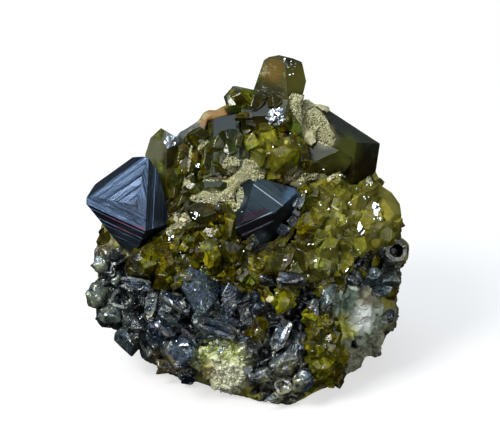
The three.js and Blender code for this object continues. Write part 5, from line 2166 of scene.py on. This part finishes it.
ROCK_TINTS = (
    Tint(-5.6, 46.2, 2.6, (0.26, 0.13, 0.02), 1), Tint(-9.4, 43, 2.6, (0.06, 0.075, 0.075), 1),
    Tint(6.7, 49.4, 1.4, (0.55, 0.34, 0.12)), Tint(14.6, 12.6, 2, (0.5, 0.52, 0.07), 1),
    Tint(18.2, 16.2, 2.2, (0.66, 0.7, 0.64)), Tint(-24, 27.2, 3, (0.16, 0.14, 0.05)),
    # Second tint of the next line: pale rock under the granular patch, partly its own colour and partly
    # painted light on its shaded lower part
    Tint(-11.2, 6.6, 1.2, (0.35, 0.18, 0.03)), Tint(-3.8, 6, 4.2, (0.5, 0.54, 0.26)),
)
CRUST_TINTS = (
    Tint(-24.6, 17.5, 2.8, (0.16, 0.18, 0.11), 0.9), Tint(-22.8, 12.5, 2.8, (0.1, 0.13, 0.09), 0.7),
    Tint(-19.5, 9, 2.6, (0.07, 0.085, 0.06), 0.7), Tint(-14.2, 6, 3, (0.19, 0.16, 0.06), 1),
    Tint(-23.6, 22.6, 1.3, (0.4, 0.44, 0.3)), Tint(20.6, 20.4, 3.2, (0.03, 0.075, 0.08), 1),
    Tint(23.4, 22.6, 2.4, (0.13, 0.15, 0.12)), Tint(6.4, 9.8, 2.8, (0.055, 0.08, 0.115), 0.6),
    Tint(3.6, 4.4, 3, (0.14, 0.13, 0.05), 0.5), Tint(7.6, 18.4, 4.8, (0.004, 0.007, 0.016), 0.85),
    # Second tint of the next line: painted light on crust pieces that lie in the middle octahedron's
    # shadow
    Tint(-10.6, 9.4, 1.8, (0.06, 0.09, 0.12), 0.7), Tint(7, 30.8, 3, (0.1, 0.14, 0.18), 0.9),
    Tint(19.4, 21.9, 2.4, (0.01, 0.018, 0.02), 0.8), Tint(6.6, 6, 2.2, (0.22, 0.21, 0.09), 0.9),
    # Second tint of the next line: painted shadow under the large octahedron
    Tint(5, 1.6, 3.4, (0.36, 0.35, 0.17), 0.95), Tint(-19.4, 22.8, 2, (0.006, 0.008, 0.006), 0.8),
    Tint(21.6, 22.6, 1.5, (0.17, 0.23, 0.25), 0.7), Tint(-19.4, 13.6, 2.4, (0.17, 0.2, 0.18), 0.5),
    Tint(3, 9.4, 2.2, (0.14, 0.17, 0.13), 0.6), Tint(-10.4, 18.2, 2, (0.008, 0.012, 0.018), 0.6),
)
KNOB_TINTS = (
    Tint(15.3, 12.3, 2.3, (0.62, 0.64, 0.1), 0.9), Tint(15.6, 17, 1.8, (0.16, 0.26, 0.2), 0.7),
    Tint(19.2, 17.2, 1.6, (0.42, 0.34, 0.2), 0.6), Tint(18.2, 13.9, 2.1, (0.8, 0.86, 0.85), 0.7),
    Tint(22.6, 14.3, 1.2, (0.01, 0.012, 0.01)),
)
LARGE_TINTS = (
    Tint(-17.6, 31.8, 1.5, (0.045, 0.06, 0.09)), Tint(-13.8, 31.6, 2.4, (0.03, 0.042, 0.062)),
)
MIDDLE_TINTS = (
    Tint(2.2, 33.6, 2.6, (0.03, 0.045, 0.052)), Tint(-1.6, 33, 1.2, (0.14, 0.17, 0.2)),
    Tint(7.5, 33.3, 1.8, (0.06, 0.1, 0.16)), Tint(1.1, 28.8, 2.6, (0.02, 0.015, 0.021)),
    Tint(2.2, 26.6, 1.4, (0.09, 0.14, 0.18)),
)
LARGE_LINES = (
    ((-23.5, 30.4), (-16.5, 28.3), PURPLE, 0.3), ((-22.4, 29), (-16.9, 27.2), PURPLE, 0.22),
)
MIDDLE_LINES = (
    ((0.9, 35.4), (5.6, 31.9), SILVER, 0.1), ((-1.8, 28.5), (3.8, 31), SILVER, 0.09),
    ((-1.1, 27.2), (4, 29.6), SILVER, 0.1), ((-2.1, 29.3), (2.6, 31.4), (0.035, 0.014, 0.024), 0.3),
)


def main() -> None:
    """Build the picture and the specimen, and report each piece."""
    logging.basicConfig(level=logging.INFO, format="%(message)s")
    noise.seed_set(NOISE_SEED)
    Studio().build()
    crust = CrustFinish(tints=CRUST_TINTS)
    plates = crust.material()
    rock, rock_shape = HostRock().build(RockFinish(crust, tints=ROCK_TINTS))
    large = MagnetiteFinish(
        "magnetite_large", (0.012, 0.018, 0.03), (0.12, 0.18, 0.29), 0.22, LARGE_LINES, LARGE_TINTS
    )
    # The middle octahedron's finish is darker than the large one's: the same magnetite, with painted
    # shade that dims the sky's reflection on its upper face
    middle = MagnetiteFinish(
        "magnetite_middle", (0.008, 0.012, 0.016), (0.045, 0.068, 0.085), 0.36, MIDDLE_LINES,
        MIDDLE_TINTS, 0.3,
    )
    pieces = [
        rock,
        Octahedron("magnetite_large", LARGE_STRIAE).build(large),
        Octahedron("magnetite_middle", MIDDLE_STRIAE).build(middle),
    ]
    surface = Surface([rock_shape])
    surface.include(pieces[1:])
    pieces.append(CrustPlates(SHELLS).build(surface, plates))
    surface.include(pieces[-1:])
    pieces.append(OpenTube().build(surface, plates))
    glassy = Diopside("glassy_grey", GLASSY, (0.85, 0.88, 0.8), 30.0, 0.12, tints=KNOB_TINTS)
    pieces.append(GlassyKnob().build(surface, glassy.material()))

    clear = Diopside(
        "diopside_clear", GREENISH, clearness=0.6, roughness=0.1, relief=0.02, veil=0.12, mottled=1.3,
        gloss=0.07, swell=0.08, striated=0.5, tints=CLEAR_TINTS
    )
    tones = {"left": 0.3, "centre": 0.45, "summit": 0.5, "right": 0.25}
    named = [NamedCrystal(f"diopside_{node}", tone).build(clear) for node, tone in tones.items()]
    pieces += named

    olive = Diopside(
        "diopside_olive", GLOW, density=450.0, base=0.05, veil=0.0, mottled=1.2, gloss=0.06, honey=0.9,
        tints=OLIVE_TINTS
    ).material()
    # Finish of the granular patch, its pale colour partly painted light
    pale = Diopside("diopside_pale", PALE_AND_FILL_LIGHT, clearness=0.0, grain=0.7, veil=0.7, tints=PALE_TINTS)
    pale = pale.material()
    crusts = [
        CrystalCrust("druse", DRUSE_DISCS, 420, (0.9, 3.0), (1.0, 3.8), DRUSE_GEMS, seed=31),
        CrystalCrust("upper", UPPER_DISCS, 60, (0.9, 2.8), (1.0, 3.4), UPPER_GEMS, TOP_GEMS, seed=32),
        CrystalCrust("column", COLUMN_DISCS, 100, (0.9, 2.4), (1.2, 3.4), COLUMN_GEMS, seed=33),
        CrystalCrust("pocket", POCKET_DISCS, 22, (0.7, 1.4), (0.8, 1.6), POCKET_GEMS, seed=34),
        CrystalCrust("granular", GRANULAR_DISCS, 560, (0.4, 0.9), (0.5, 1.0), seed=35),
    ]
    solids = [rock_shape, *(merged_copy(f"diopside_{item.name}") for item in crusts)]
    ground = Surface(solids)
    top = Surface(solids)
    top.include(named)
    for item in crusts:
        pieces.append(item.build(ground, top, pale if item.name == "granular" else olive))

    surface = Surface([])
    surface.include(pieces)
    sand = GrainFinish("sand", (0.25, 0.235, 0.1), (0.8, 0.8, 0.51))
    pieces.append(Sand(DRIFTS).build(surface, sand))
    half_way = (KEY_WAY[0], KEY_WAY[1], KEY_WAY[2] + 1.0)
    glints = Flakes("bright_flakes", GLINTS, half_way, "diopside_druse")
    pieces.append(glints.build(surface, MirrorFinish().material()))
    beige = GrainFinish("beige_plates", (0.4, 0.34, 0.16), (0.78, 0.72, 0.48)).material()
    plates_field = Flakes("beige_plates", BEIGE_PLATES, (0.0, 0.5, 0.8), "matrix", 0.16, 71)
    pieces.append(plates_field.build(surface, beige))

    for piece in pieces:
        log.info("%s: %d faces", piece.name, len(piece.data.polygons))
    rock_shape.free()


if __name__ == "__main__":
    main()
